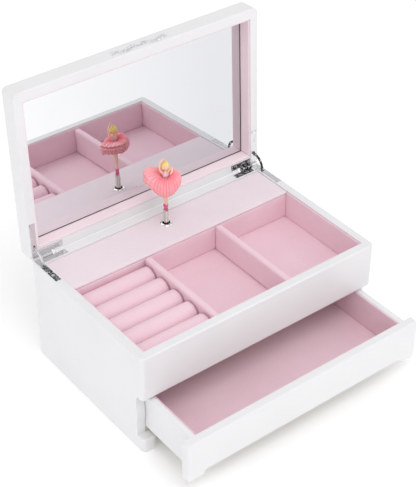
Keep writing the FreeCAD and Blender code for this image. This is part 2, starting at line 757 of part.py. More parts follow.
# ---------------------------------------------------------------- drawer, drawn pulled out
def drawer():
    """Front with bracket-shaped lower corners, two sides, back, bottom and velvet linings."""
    body = new_body("drawer_front_body")
    out = FRONT - cell("drawer_pull")
    sketch = sketch_on(body, "XZ_Plane", -out)
    low = cell("drawer_front_low")
    mid = cell("drawer_front_mid")
    top = cell("drawer_front_top")
    r = 3.0
    k = r * (1 - math.sqrt(0.5))
    lobe = WIDE - 11.5
    draw(
        sketch,
        (-WIDE, top - r),
        (-WIDE, low + r),
        ((-WIDE + k, low + k), (-WIDE + r, low)),
        (-lobe, low),
        ((-lobe + 4.0, low + 1.0), (-lobe + 8.0, mid)),
        (lobe - 8.0, mid),
        ((lobe - 4.0, low + 1.0), (lobe, low)),
        (WIDE - r, low),
        ((WIDE - k, low + k), (WIDE, low + r)),
        (WIDE, top - r),
        ((WIDE - k, top - k), (WIDE - r, top)),
        (-WIDE + r, top),
        ((-WIDE + k, top - k), (-WIDE, top - r)),
    )
    pad(body, sketch, "drawer_front", reverse=True)
    fillet_body(body, 2.0, lambda e: near(e, "Y", out))
    named(body, "drawer_front")

    pulled = "case_front - drawer_pull"
    height = "drawer_side_top - drawer_bottom"
    for tag, x in (("left", "-drawer_outer"), ("right", "drawer_outer - drawer_wall")):
        board = block(f"drawer_side_{tag}_board", "drawer_wall", "drawer_end - drawer_front", height, x,
                      pulled + " + drawer_front", "drawer_bottom")
        named(rounded(f"drawer_side_{tag}_soft", board, 1.2, lambda e: along("Y")(e)
                      and near(e, "Z", cell("drawer_side_top"))), f"drawer_side_{tag}")
    named(block("drawer_back_board", "2 * drawer_outer - 2 * drawer_wall", "drawer_wall", height,
                "drawer_wall - drawer_outer", pulled + " + drawer_end - drawer_wall",
                "drawer_bottom"), "drawer_back")
    named(block("drawer_bottom_board", "2 * drawer_outer - 2 * drawer_wall",
                "drawer_end - drawer_wall - drawer_front", "drawer_floor", "drawer_wall - drawer_outer",
                pulled + " + drawer_front", "drawer_bottom"), "drawer_bottom")
    named(block("drawer_velvet", "2 * drawer_outer - 2 * drawer_wall",
                "drawer_end - drawer_wall - drawer_front", "drawer_lining", "drawer_wall - drawer_outer",
                pulled + " + drawer_front", "drawer_bottom + drawer_floor"), "drawer_floor_lining")
    floor = "drawer_bottom + drawer_floor + drawer_lining"
    wall = "drawer_side_top - 0.6 - drawer_bottom - drawer_floor - drawer_lining"
    strips = [
        block("drawer_lining_front", "2 * drawer_outer - 2 * drawer_wall", "drawer_lining", wall,
              "drawer_wall - drawer_outer", pulled + " + drawer_front", floor),
        block("drawer_lining_back", "2 * drawer_outer - 2 * drawer_wall", "drawer_lining", wall,
              "drawer_wall - drawer_outer", pulled + " + drawer_end - drawer_wall - drawer_lining", floor),
    ]
    places = {
        "left": "drawer_wall - drawer_outer",
        "right": "drawer_outer - drawer_wall - drawer_lining",
    }
    for tag, x in places.items():
        strips.append(block(f"drawer_lining_{tag}", "drawer_lining",
                            "drawer_end - drawer_wall - drawer_front - 2 * drawer_lining", wall, x,
                            pulled + " + drawer_front + drawer_lining", floor))
    named(group("drawer_lining_set", strips), "drawer_wall_linings")


# ---------------------------------------------------------------- movement, fixed pieces
PLATE_SCREWS = ((-52.0, 91.5), (14.5, 91.5), (14.5, 67.5))


def bedplate():
    """Metal plate on the back wall that carries the movement."""
    body = new_body("bedplate_body")
    sketch = sketch_on(body, "XZ_Plane", -PLATE_FACE)
    left = -cell("bedplate_left")
    right = cell("bedplate_right")
    low = cell("bedplate_low")
    top = cell("bedplate_top")
    draw(sketch, (left, low), (right, low), (right, top), (left, top))
    circle(sketch, 0, AXIS_Z, cell("arbor_radius") + cell("running_gap"))
    for x, z in PLATE_SCREWS:
        circle(sketch, x, z, 1.1)
    pad(body, sketch, "bedplate", reverse=True)
    fillet_body(body, 3.0, along("Y"))
    named(body, "movement_bedplate")


def comb():
    """Steel comb over the cylinder, and the block that it is screwed to."""
    left = -cell("cylinder_outer") - 0.4
    right = -cell("cylinder_inner") + 0.4
    tip = AXIS_Z + cell("cylinder_radius") + 0.9
    top = 95.0
    body = new_body("comb_body")
    sketch = sketch_on(body, "XZ_Plane", -(SPINDLE_Y - 0.4))
    draw(sketch, (left, tip), (right, tip), (right, top), (left, top))
    for x in (left + 3.5, right - 3.5):
        circle(sketch, x, 92.6, 0.9)
    pad(body, sketch, "0.8", reverse=True)
    pitch = (right - left) / COMB_TEETH
    slit = sketch_on(body, "XZ_Plane", -(SPINDLE_Y - 0.4))
    x = left + pitch
    draw(slit, (x - 0.15, tip - 1), (x + 0.15, tip - 1), (x + 0.15, 90.2), (x - 0.15, 90.2))
    first = pocket(body, slit, 0.8)
    row = body.newObject("PartDesign::LinearPattern", "comb_slits")
    row.Originals = [first]
    row.Direction = (slit, ["H_Axis"])
    row.Length = pitch * (COMB_TEETH - 2)
    row.Occurrences = COMB_TEETH - 1
    body.Tip = row
    doc.recompute()
    named(body, "music_comb")
    screws = []
    holes = []
    for n, sx in enumerate((left + 3.5, right - 3.5), start=1):
        holes.append(rod(f"comb_base_hole_{n}", 0.9, (sx, SPINDLE_Y - 2, 92.6), (0, 1, 0), 16))
        head = rod(f"comb_screw_head_{n}", 1.7, (sx, SPINDLE_Y - 1.4, 92.6), (0, 1, 0), 1.0)
        shank = rod(f"comb_screw_shank_{n}", 0.9, (sx, SPINDLE_Y - 0.5, 92.6), (0, 1, 0), 8.0)
        screws.append(fuse(f"comb_screw_{n}", [head, shank]))
    base = solid_box("comb_base_block", (left, SPINDLE_Y + 0.4, 90.2), (right, PLATE_FACE, top))
    named(cut("comb_base_holed", base, holes), "comb_base")
    for n, (sx, sz) in enumerate(PLATE_SCREWS, start=1):
        head = rod(f"plate_screw_head_{n}", 2.2, (sx, PLATE_FACE - 1.2, sz), (0, 1, 0), 1.2)
        shank = rod(f"plate_screw_shank_{n}", 1.1, (sx, PLATE_FACE - 0.1, sz), (0, 1, 0), 9.0)
        screws.append(fuse(f"plate_screw_{n}", [head, shank]))
    named(group("movement_screw_set", screws), "movement_screws")


def frames():
    """Brackets that carry the cylinder, the governor and the dancer's spindle."""
    y0 = SPINDLE_Y - 2.6
    gap = cell("running_gap")
    inner = solid_box("inner_ear", (-18.6, y0, AXIS_Z - 3), (-17.2, PLATE_FACE, AXIS_Z + 3))
    low_ear = solid_box("low_ear", (-37.6, y0, 63.2), (-36.2, PLATE_FACE, GOVERNOR_Z + 1.6))
    bores = [
        rod("inner_bore", 0.9 + gap, (-20, SPINDLE_Y, AXIS_Z), (1, 0, 0), 5),
        rod("low_bore", 0.6 + gap, (-39, SPINDLE_Y, GOVERNOR_Z), (1, 0, 0), 5),
    ]
    tie = solid_box("bracket_tie", (-37.6, PLATE_FACE - 1.4, 64.5), (-17.2, PLATE_FACE, AXIS_Z))
    raw = fuse("cylinder_bracket_raw", [inner, low_ear, tie])
    named(cut("cylinder_bracket_cut", raw, bores), "cylinder_bracket")

    plate = solid_box("governor_plate", (-53.0, WORM_Y - 2.2, 63.4), (-51.5, PLATE_FACE, 87.0))
    upper = solid_box("governor_upper", (-53.0, WORM_Y - 2.2, 85.6), (WORM_X + 1.7, WORM_Y + 2.2, 87.0))
    lower = solid_box("governor_lower", (-53.0, WORM_Y - 2.2, 62.6), (WORM_X + 1.7, WORM_Y + 2.2, 64.0))
    bores = [
        rod("outer_bore", 0.9 + gap, (-54, SPINDLE_Y, AXIS_Z), (1, 0, 0), 4),
        rod("wheel_bore", 0.6 + gap, (-54, SPINDLE_Y, GOVERNOR_Z), (1, 0, 0), 4),
        rod("worm_bore", 0.5 + gap, (WORM_X, WORM_Y, 62), (0, 0, 1), 26),
    ]
    raw = fuse("governor_frame_raw", [plate, upper, lower])
    named(cut("governor_frame_cut", raw, bores), "governor_frame")

    arm = solid_box("spindle_arm", (-3, SPINDLE_Y - 4.6, 94.3), (3, PLATE_FACE, 95.8))
    front = solid_box("spindle_front", (-3, SPINDLE_Y - 5.8, 85.2), (3, SPINDLE_Y - 4.4, 95.8))
    foot = solid_box("spindle_foot", (-3, SPINDLE_Y - 5.8, 85.2), (3, SPINDLE_Y + 2.4, 86.6))
    bore = rod("spindle_bore", 1.2 + gap, (0, SPINDLE_Y, 84), (0, 0, 1), 14)
    raw = fuse("spindle_bracket_raw", [arm, front, foot])
    named(cut("spindle_bracket_cut", raw, [bore]), "spindle_bracket")


# ---------------------------------------------------------------- movement, moving pieces
def spring_drum():
    """Spring barrel with a crown of teeth on its front rim."""
    y0 = DRUM_FACE
    axis = Vector(0, 1, 0)
    length = cell("drum_length")
    arbor = cell("arbor_radius") + cell("running_gap")
    shell = Part.makeCylinder(cell("drum_radius"), length, Vector(0, y0, AXIS_Z), axis)
    hollow = Part.makeCylinder(12.2, length, Vector(0, y0 + 1.0, AXIS_Z), axis)
    bore = Part.makeCylinder(arbor, 4, Vector(0, y0 - 1, AXIS_Z), axis)
    teeth = []
    corner = Vector(cell("crown_radius") - 0.6, CROWN_TIP, AXIS_Z - 0.2)
    for n in range(CROWN_TEETH):
        tooth = Part.makeBox(1.2, y0 + 0.3 - CROWN_TIP, 0.4, corner)
        tooth.rotate(Vector(0, 0, AXIS_Z), Vector(0, 1, 0), 360 * (n + 0.5) / CROWN_TEETH)
        teeth.append(tooth)
    drum = shell.cut(hollow).cut(bore).fuse(teeth).removeSplitter()
    named(feature("drum", drum), "spring_drum")

    turns = 8
    inner = 3.2
    outer = 11.7
    strip = 0.3

    def spiral(offset):
        points = []
        for n in range(turns * 12 + 1):
            radius = inner + offset + (outer - inner) * n / (turns * 12)
            angle = 2 * math.pi * n / 12
            points.append(Vector(radius * math.cos(angle), 0, radius * math.sin(angle)))
        curve = Part.BSplineCurve()
        curve.interpolate(points)
        return curve.toShape(), points[0], points[-1]

    inside, in_start, in_end = spiral(0)
    outside, out_start, out_end = spiral(strip)
    wire = Part.Wire([inside, Part.makeLine(in_end, out_end), outside, Part.makeLine(out_start, in_start)])
    ribbon = Part.Face(wire).extrude(Vector(0, cell("drum_length") - 2.4, 0))
    ribbon.Placement = Placement(Vector(0, y0 + 1.3, AXIS_Z), Rotation())
    named(feature("spring_ribbon", ribbon), "mainspring")


def winding():
    """Winding arbor through the back wall, and the key screwed on it."""
    start = DRUM_FACE - 0.8
    arbor = rod("arbor", cell("arbor_radius"), (0, start, AXIS_Z), (0, 1, 0), KEY_STATION + 6.5 - start)
    bind(arbor, Radius="arbor_radius")
    hook = rod("arbor_boss", 2.9, (0, DRUM_FACE + 1.4, AXIS_Z), (0, 1, 0), cell("drum_length") - 1.9)
    named(fuse("arbor_with_boss", [arbor, hook]), "winding_arbor")

    body = new_body("key_body")
    sketch = sketch_on(body, "YZ_Plane")
    half = cell("key_width") / 2
    y0 = KEY_STATION + 5.5
    draw(
        sketch,
        (y0, -3.0),
        ((y0 + 2.0, -half + 1.2), (y0 + 8.0, -half)),
        ((y0 + 13.2, -half + 5.2), (y0 + 8.4, -1.6)),
        ((y0 + 7.2, 0.0), (y0 + 8.4, 1.6)),
        ((y0 + 13.2, half - 5.2), (y0 + 8.0, half)),
        ((y0 + 2.0, half - 1.2), (y0, 3.0)),
    )
    circle(sketch, y0 + 7.2, half - 5.6, 2.0)
    circle(sketch, y0 + 7.2, 5.6 - half, 2.0)
    pad(body, sketch, "1.8", midplane=True)
    body.Placement = Placement(Vector(0, 0, AXIS_Z), Rotation())
    hub = rod("key_hub", 3.2, (0, KEY_STATION, AXIS_Z), (0, 1, 0), 8.0)
    socket = rod("key_socket", cell("arbor_radius"), (0, KEY_STATION - 1, AXIS_Z), (0, 1, 0), 7.5)
    named(cut("key_cut", fuse("key_raw", [body, hub]), [socket]), "winding_key")


def cylinder():
    """Pinned cylinder with its arbor, crown pinion and large gear."""
    axis = Vector(1, 0, 0)
    toward = Vector(0, 1, 0)
    length = cell("cylinder_outer") - cell("cylinder_inner")
    start = Vector(-cell("cylinder_outer"), SPINDLE_Y, AXIS_Z)
    shell = Part.makeCylinder(cell("cylinder_radius"), length, start, axis)
    arbor = Part.makeCylinder(0.9, 41.6, Vector(-52.8, SPINDLE_Y, AXIS_Z), axis)
    pinion = toothed("pinion", PINION_TEETH, cell("pinion_root"), cell("pinion_outer"), 0.4, 1.6,
                     Vector(-cell("crown_radius") - 0.8, SPINDLE_Y, AXIS_Z), toward, axis)
    gear = toothed("gear", CYLINDER_GEAR_TEETH, 6.7, 7.5, 0.3, 1.2, Vector(-40.4, SPINDLE_Y, AXIS_Z),
                   Vector(0, 0, -1), axis)
    named(feature("cylinder_solid", shell.fuse([arbor, pinion, gear]).removeSplitter()), "music_cylinder")
    pins = []
    rows = COMB_TEETH
    for row in range(rows):
        x = -cell("cylinder_outer") + 0.1 + (row + 0.5) * (length - 0.2) / rows
        for n in range(4):
            turn = math.radians((row * 67 + n * 90 + 23 * ((row * n) % 3)) % 360)
            way = Vector(0, math.cos(turn), math.sin(turn))
            foot = Vector(x, SPINDLE_Y, AXIS_Z) + way * (cell("cylinder_radius") - 0.4)
            pins.append(Part.makeCylinder(0.16, 1.0, foot, way))
    named(feature("pins", Part.makeCompound(pins)), "cylinder_pins")


def governor():
    """Governor wheel, its worm, and the air-brake fly that keeps the tune's pace."""
    axis = Vector(1, 0, 0)
    arbor = Part.makeCylinder(0.6, 16.6, Vector(-52.8, SPINDLE_Y, GOVERNOR_Z), axis)
    small_place = Vector(-40.6, SPINDLE_Y, GOVERNOR_Z)
    tilt = Vector(0, math.sin(math.pi / 9), math.cos(math.pi / 9))
    pinion = toothed("small", GOVERNOR_PINION_TEETH, 1.25, 2.15, 0.3, 1.6, small_place, tilt, axis)
    wheel_place = Vector(WORM_X - 0.3, SPINDLE_Y, GOVERNOR_Z)
    wheel = toothed("wheel", WORM_WHEEL_TEETH, 4.4, 5.3, 0.28, 0.6, wheel_place, Vector(0, -1, 0), axis)
    named(feature("governor_wheel_solid", arbor.fuse([pinion, wheel]).removeSplitter()), "governor_wheel")

    # the wheel's tooth that faces the worm sits midway between two turns of its thread
    pitch = 2 * math.pi * 5.0 / WORM_WHEEL_TEETH
    lead = pitch * WORM_STARTS
    height = 8.0
    base = GOVERNOR_Z - height / 2
    phase = 90.0 - 360.0 * ((height + pitch) / 2 % pitch) / lead
    shaft = Part.makeCylinder(0.5, 86.8 - 62.8, Vector(WORM_X, WORM_Y, 62.8))
    root = Part.makeCylinder(0.85, height + 0.6, Vector(WORM_X, WORM_Y, base - 0.2))
    threads = []
    for start in range(WORM_STARTS):
        helix = Part.makeHelix(lead, height, 1.2)
        profile = Part.makePolygon([Vector(0.7, 0, -0.17), Vector(1.55, 0, -0.13), Vector(1.55, 0, 0.13),
                                    Vector(0.7, 0, 0.17), Vector(0.7, 0, -0.17)])
        thread = Part.Wire(helix).makePipeShell([profile], True, True)
        thread.rotate(Vector(), Vector(0, 0, 1), 360 * start / WORM_STARTS + phase)
        thread.translate(Vector(WORM_X, WORM_Y, base))
        threads.append(thread)
    named(feature("worm_solid", shaft.fuse([root] + threads)), "governor_worm")

    hub = rod("fly_hub", 1.4, (WORM_X, WORM_Y, 77.6), (0, 0, 1), 6.6)
    vanes = [
        solid_box("fly_vane_1", (WORM_X - 3.6, WORM_Y - 0.25, 78.0), (WORM_X + 3.6, WORM_Y + 0.25, 84.0)),
        solid_box("fly_vane_2", (WORM_X - 3.6, WORM_Y - 0.6, 78.0), (WORM_X - 2.6, WORM_Y + 0.6, 84.0)),
        solid_box("fly_vane_3", (WORM_X + 2.6, WORM_Y - 0.6, 78.0), (WORM_X + 3.6, WORM_Y + 0.6, 84.0)),
    ]
    bore = rod("fly_bore", 0.5, (WORM_X, WORM_Y, 77), (0, 0, 1), 8)
    named(cut("fly_cut", fuse("fly_raw", [hub] + vanes), [bore]), "governor_fly")


def stop_wire():
    """Bent wire: its top stands through the deck under the lid's edge, its tip hangs over the fly."""
    r = 0.5
    high = 99.2
    tip = 87.0
    x_end = WORM_X + 2.9
    corners = [
        (STOP_X, STOP_Y, 107.0),
        (STOP_X, STOP_Y, high),
        (x_end, STOP_Y, high),
        (x_end, WORM_Y, high),
        (x_end, WORM_Y, tip),
    ]
    pieces = []
    for n in range(len(corners) - 1):
        a = Vector(*corners[n])
        b = Vector(*corners[n + 1])
        way = b - a
        pieces.append(rod(f"stop_run_{n}", r, tuple(a), tuple(way.normalize()), (b - a).Length))
    for n in range(1, len(corners) - 1):
        ball = doc.addObject("Part::Sphere", f"stop_bend_{n}")
        ball.Radius = r
        ball.Placement.Base = Vector(*corners[n])
        pieces.append(ball)
    named(fuse("stop_wire_raw", pieces), "stop_wire")


# ---------------------------------------------------------------- dancer
def dancer():
    """Spindle, coil spring post, moulded figure with raised arms, and net skirt."""
    axis = Vector(0, 0, 1)
    toward = Vector(0, 1, 0)
    shaft = Part.makeCylinder(1.2, 104.4 - 85.4, Vector(0, SPINDLE_Y, 85.4))
    cup = Part.makeCylinder(2.4, 0.5, Vector(0, SPINDLE_Y, 104.4))
    pinion = toothed("dancer_pinion", PINION_TEETH, cell("pinion_root"), cell("pinion_outer"), 0.4, 1.6,
                     Vector(0, SPINDLE_Y, AXIS_Z + cell("crown_radius") - 0.8), toward, axis)
    named(feature("spindle_solid", shaft.fuse([cup, pinion]).removeSplitter()), "dancer_spindle")

    low = cell("spring_bottom")
    high = cell("spring_top")
    tube = rod("spring_tube", cell("spring_radius"), (0, SPINDLE_Y, low), (0, 0, 1), high - low)
    bind(tube, Radius="spring_radius", Height="spring_top - spring_bottom")
    bore = rod("spring_bore", 1.9, (0, SPINDLE_Y, low - 1), (0, 0, 1), high - low + 2)
    named(cut("spring_cut", tube, [bore]), "dancer_spring")

    profile = [
        (0.0, high), (1.9, high), (2.3, high + 1.8), (1.7, high + 5.0), (1.9, 132.0), (2.5, 140.0),
        (3.3, 146.0), (2.9, 149.5), (2.4, 152.0), (3.5, 157.5), (3.4, 159.5), (1.3, 161.5), (1.2, 163.2),
        (0.0, 163.2),
    ]
    points = [Vector(x, 0, z) for x, z in profile]
    points.append(points[0])
    trunk = Part.Face(Part.makePolygon(points)).revolve(Vector(), axis, 360)
    head = Part.makeSphere(cell("head_radius"), Vector(0, 0, cell("head_height")))
    bun = Part.makeSphere(1.6, Vector(0, 1.6, 169.2))
    hands = DANCER_TOP - 0.9
    arms = []
    for side in (-1, 1):
        path = [Vector(side * 3.0, 0, 158.4), Vector(side * 4.4, 0, 163.5), Vector(side * 4.0, 0, 170.0),
                Vector(side * 0.6, 0, hands)]
        for n in range(3):
            way = path[n + 1] - path[n]
            arms.append(Part.makeCylinder(0.9, way.Length, path[n], way))
            arms.append(Part.makeSphere(1.0, path[n + 1]))
    figure = trunk.fuse([head, bun] + arms).removeSplitter()
    figure.translate(Vector(0, SPINDLE_Y, 0))
    named(feature("figure", figure), "dancer_figure")

    skirt = doc.addObject("Part::Ellipsoid", "skirt")
    bind(skirt, Radius1="tutu_half", Radius2="tutu_radius", Radius3="tutu_radius", z="tutu_height")
    skirt.Placement.Base = Vector(0, SPINDLE_Y, cell("tutu_height"))
    waist = rod("skirt_waist", 3.9, (0, SPINDLE_Y, 140), (0, 0, 1), 22)
    named(cut("skirt_cut", skirt, [waist]), "dancer_tutu")


# ---------------------------------------------------------------- build, check and write
side_panel("left_side_panel", -1)
side_panel("right_side_panel", 1)
back_panel()
front_fascia()
feet()
boards()
music_deck()
spindle_eyelet()
tray_linings()
tray_dividers()
ring_rolls()
case_hinges()
lid()
lid_ornament()
hinge_pins_and_stays()
drawer()
bedplate()
comb()
frames()
spring_drum()
winding()
cylinder()
governor()
stop_wire()
dancer()
doc.recompute()

for item in doc.Objects:
    if "Invalid" in item.State or "Error" in item.State:
        raise ValueError(item.Label + " failed to build: " + str(item.State))
labels = [item.Label for item in parts]
if len(set(labels)) != len(labels):
    raise ValueError("two sub-parts share a name")
for item in parts:
    shape = item.Shape
    if shape.isNull() or not shape.isValid() or not shape.Solids:
        raise ValueError(item.Label + " has no valid solid")

os.makedirs("parts", exist_ok=True)
for item in parts:
    item.Shape.exportStep(os.path.join("parts", item.Label + ".step"))
    box = item.Shape.BoundBox
    print(f"{item.Label:26s} {len(item.Shape.Solids):3d} solids  {item.Shape.Volume:10.1f} mm3")
    print(f"    x {box.XMin:.1f} to {box.XMax:.1f}  y {box.YMin:.1f} to {box.YMax:.1f}"
          f"  z {box.ZMin:.1f} to {box.ZMax:.1f}")
print(len(parts), "sub-parts")
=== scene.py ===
"""Looks of the wind-up music box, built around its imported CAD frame. Metres, Z up, front to -Y."""
import json
import math

import bmesh
import bpy
import numpy as np
from mathutils import Matrix, Vector, noise


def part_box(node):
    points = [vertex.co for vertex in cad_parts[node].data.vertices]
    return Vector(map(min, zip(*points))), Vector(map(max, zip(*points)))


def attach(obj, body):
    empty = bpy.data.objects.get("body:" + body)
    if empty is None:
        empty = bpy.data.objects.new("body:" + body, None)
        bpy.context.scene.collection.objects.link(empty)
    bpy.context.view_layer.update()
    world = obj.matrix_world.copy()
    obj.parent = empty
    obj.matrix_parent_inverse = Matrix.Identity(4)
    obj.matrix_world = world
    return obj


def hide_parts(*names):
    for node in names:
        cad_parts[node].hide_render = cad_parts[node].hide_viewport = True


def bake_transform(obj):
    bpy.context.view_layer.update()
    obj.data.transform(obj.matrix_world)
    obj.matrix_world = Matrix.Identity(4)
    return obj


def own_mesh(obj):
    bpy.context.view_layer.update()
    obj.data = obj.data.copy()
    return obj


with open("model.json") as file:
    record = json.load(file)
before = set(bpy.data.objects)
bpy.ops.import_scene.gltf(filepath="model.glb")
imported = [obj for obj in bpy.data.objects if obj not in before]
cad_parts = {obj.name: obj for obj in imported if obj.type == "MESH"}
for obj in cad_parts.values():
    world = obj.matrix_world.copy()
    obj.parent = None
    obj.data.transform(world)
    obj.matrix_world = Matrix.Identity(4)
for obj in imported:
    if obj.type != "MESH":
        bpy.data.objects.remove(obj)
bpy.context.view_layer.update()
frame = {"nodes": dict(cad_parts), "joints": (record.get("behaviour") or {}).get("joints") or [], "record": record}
nodes = frame["nodes"]
MM = 0.001
PLEATS = 30


# ---------------------------------------------------------------- materials
def new_material(name):
    """An empty node material with its Principled shader and object coordinates."""
    material = bpy.data.materials.new(name)
    material.use_nodes = True
    tree = material.node_tree
    shader = tree.nodes["Principled BSDF"]
    place = tree.nodes.new("ShaderNodeTexCoord")
    return material, tree, shader, place.outputs["Object"]


def noise_node(tree, place, scale, detail=3.0, rough=0.5, stretch=None):
    """A noise texture in metres, stretched along an axis where asked."""
    if stretch:
        mapping = tree.nodes.new("ShaderNodeMapping")
        mapping.inputs["Scale"].default_value = stretch
        tree.links.new(place, mapping.inputs["Vector"])
        place = mapping.outputs["Vector"]
    node = tree.nodes.new("ShaderNodeTexNoise")
    node.inputs["Scale"].default_value = scale
    node.inputs["Detail"].default_value = detail
    node.inputs["Roughness"].default_value = rough
    tree.links.new(place, node.inputs["Vector"])
    return node.outputs["Fac"]


def ramp(tree, source, stops):
    """A colour ramp over a 0 to 1 value."""
    node = tree.nodes.new("ShaderNodeValToRGB")
    line = node.color_ramp
    while len(line.elements) < len(stops):
        line.elements.new(0.5)
    for element, (at, colour) in zip(line.elements, stops):
        element.position = at
        element.color = (*colour, 1.0)
    tree.links.new(source, node.inputs["Fac"])
    return node.outputs["Color"]


def spread(tree, source, low, high):
    """Maps a noise's middle range to low..high."""
    node = tree.nodes.new("ShaderNodeMapRange")
    node.inputs["From Min"].default_value = 0.3
    node.inputs["From Max"].default_value = 0.7
    node.inputs["To Min"].default_value = low
    node.inputs["To Max"].default_value = high
    tree.links.new(source, node.inputs["Value"])
    return node.outputs["Result"]


def bump(tree, shader, height, strength, distance):
    """Small relief from a 0 to 1 value."""
    node = tree.nodes.new("ShaderNodeBump")
    node.inputs["Strength"].default_value = strength
    node.inputs["Distance"].default_value = distance
    tree.links.new(height, node.inputs["Height"])
    tree.links.new(node.outputs["Normal"], shader.inputs["Normal"])


def lacquer(name, colour):
    """Satin white lacquer on board: faint cloudiness, fine orange peel."""
    material, tree, shader, place = new_material(name)
    cloud = noise_node(tree, place, 18, 4)
    low = [c * 0.965 for c in colour]
    tree.links.new(ramp(tree, cloud, [(0.3, low), (0.7, colour)]), shader.inputs["Base Color"])
    tree.links.new(spread(tree, noise_node(tree, place, 60, 3), 0.30, 0.42), shader.inputs["Roughness"])
    shader.inputs["Coat Weight"].default_value = 0.25
    shader.inputs["Coat Roughness"].default_value = 0.22
    bump(tree, shader, noise_node(tree, place, 420, 2), 0.06, 0.0004)
    return material


def velvet(name, deep, pale, fibre=2600):
    """Short pile: fine grain, a little mottled where the pile leans, with a soft pale sheen."""
    material, tree, shader, place = new_material(name)
    lean = noise_node(tree, place, 26, 4, 0.6)
    grain = noise_node(tree, place, fibre, 2, 0.7)
    faint = tree.nodes.new("ShaderNodeMath")
    faint.operation = "MULTIPLY"
    faint.inputs[1].default_value = 0.18
    tree.links.new(lean, faint.inputs[0])
    mixed = tree.nodes.new("ShaderNodeMath")
    mixed.operation = "MULTIPLY_ADD"
    mixed.inputs[1].default_value = 0.5
    tree.links.new(grain, mixed.inputs[0])
    tree.links.new(faint.outputs[0], mixed.inputs[2])
    tree.links.new(ramp(tree, mixed.outputs[0], [(0.22, deep), (0.46, pale)]), shader.inputs["Base Color"])
    shader.inputs["Roughness"].default_value = 0.92
    shader.inputs["Specular IOR Level"].default_value = 0.15
    shader.inputs["Sheen Weight"].default_value = 0.3
    shader.inputs["Sheen Roughness"].default_value = 0.45
    shader.inputs["Sheen Tint"].default_value = (1.0, 0.92, 0.95, 1.0)
    bump(tree, shader, grain, 0.3, 0.0002)
    return material


def metal(name, colour, rough, brushed=None):
    """Metal with fine wear in its gloss, brushed along an axis where asked."""
    material, tree, shader, place = new_material(name)
    shader.inputs["Metallic"].default_value = 1.0
    wear = noise_node(tree, place, 300, 5, 0.65, brushed)
    low = [c * 0.86 for c in colour]
    tree.links.new(ramp(tree, wear, [(0.3, low), (0.65, colour)]), shader.inputs["Base Color"])
    tree.links.new(spread(tree, wear, rough * 0.7, rough * 1.5), shader.inputs["Roughness"])
    bump(tree, shader, wear, 0.05, 0.0001)
    return material


def plastic(name, colour, rough=0.35, shade=0.88):
    """Moulded and hand-painted plastic."""
    material, tree, shader, place = new_material(name)
    mottle = noise_node(tree, place, 380, 3)
    low = [c * shade for c in colour]
    tree.links.new(ramp(tree, mottle, [(0.3, low), (0.7, colour)]), shader.inputs["Base Color"])
    tree.links.new(spread(tree, mottle, rough * 0.8, rough * 1.25), shader.inputs["Roughness"])
    shader.inputs["Subsurface Weight"].default_value = 0.12
    shader.inputs["Subsurface Radius"].default_value = (0.0012, 0.0006, 0.0004)
    bump(tree, shader, noise_node(tree, place, 900, 2), 0.08, 0.0001)
    return material


def net(name, colour, deep):
    """Stiff net in fine pleats, with painted shade: darker in the folds and towards the waist, paler towards the rim.
    """
    material, tree, shader, place = new_material(name)
    middle = [(a + b) / 2 for a, b in zip(*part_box("dancer_tutu"))]
    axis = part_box("dancer_spindle")
    reach = tree.nodes.new("ShaderNodeVectorMath")
    reach.operation = "DISTANCE"
    reach.inputs[1].default_value = ((axis[0][0] + axis[1][0]) / 2, (axis[0][1] + axis[1][1]) / 2, middle[2])
    tree.links.new(place, reach.inputs[0])
    # painted shade: darker close to the spindle at the waist, paler out towards the rim
    waist_shade = tree.nodes.new("ShaderNodeMapRange")
    waist_shade.inputs["From Min"].default_value = 0.003
    waist_shade.inputs["From Max"].default_value = 0.024
    tree.links.new(reach.outputs["Value"], waist_shade.inputs["Value"])
    noise_and_waist_shade = tree.nodes.new("ShaderNodeMath")
    noise_and_waist_shade.operation = "MULTIPLY_ADD"
    noise_and_waist_shade.inputs[1].default_value = 0.3
    tree.links.new(noise_node(tree, place, 160, 3), noise_and_waist_shade.inputs[0])
    tree.links.new(waist_shade.outputs["Result"], noise_and_waist_shade.inputs[2])
    shifted = tree.nodes.new("ShaderNodeVectorMath")
    shifted.operation = "SUBTRACT"
    shifted.inputs[1].default_value = reach.inputs[1].default_value
    tree.links.new(place, shifted.inputs[0])
    parts = tree.nodes.new("ShaderNodeSeparateXYZ")
    tree.links.new(shifted.outputs["Vector"], parts.inputs[0])
    # painted shade in the folds: one dark band per pleat round the spindle
    pleat_shade = None
    steps = [
        ("ARCTAN2", parts.outputs["Y"], parts.outputs["X"]),
        ("MULTIPLY", None, PLEATS),
        ("SINE", None, None),
        ("MULTIPLY", None, 0.20),
    ]
    for step, source, value in steps:
        sums = tree.nodes.new("ShaderNodeMath")
        sums.operation = step
        tree.links.new(source or pleat_shade, sums.inputs[0])
        if hasattr(value, "node"):
            tree.links.new(value, sums.inputs[1])
        elif value is not None:
            sums.inputs[1].default_value = value
        pleat_shade = sums.outputs[0]
    pleats = tree.nodes.new("ShaderNodeMath")
    pleats.operation = "ADD"
    tree.links.new(noise_and_waist_shade.outputs[0], pleats.inputs[0])
    tree.links.new(pleat_shade, pleats.inputs[1])
    tree.links.new(ramp(tree, pleats.outputs[0], [(0.15, deep), (0.95, colour)]), shader.inputs["Base Color"])
    shader.inputs["Roughness"].default_value = 0.6
    shader.inputs["Sheen Weight"].default_value = 0.3
    shader.inputs["Subsurface Weight"].default_value = 0.25
    shader.inputs["Subsurface Radius"].default_value = (0.004, 0.0012, 0.0012)
    return material


def board(name, colour):
    """Unpainted fibreboard inside the case."""
    material, tree, shader, place = new_material(name)
    fibres = noise_node(tree, place, 700, 4, 0.7, (1.0, 0.3, 1.0))
    low = [c * 0.8 for c in colour]
    tree.links.new(ramp(tree, fibres, [(0.3, low), (0.7, colour)]), shader.inputs["Base Color"])
    shader.inputs["Roughness"].default_value = 0.8
    bump(tree, shader, fibres, 0.2, 0.0002)
    return material


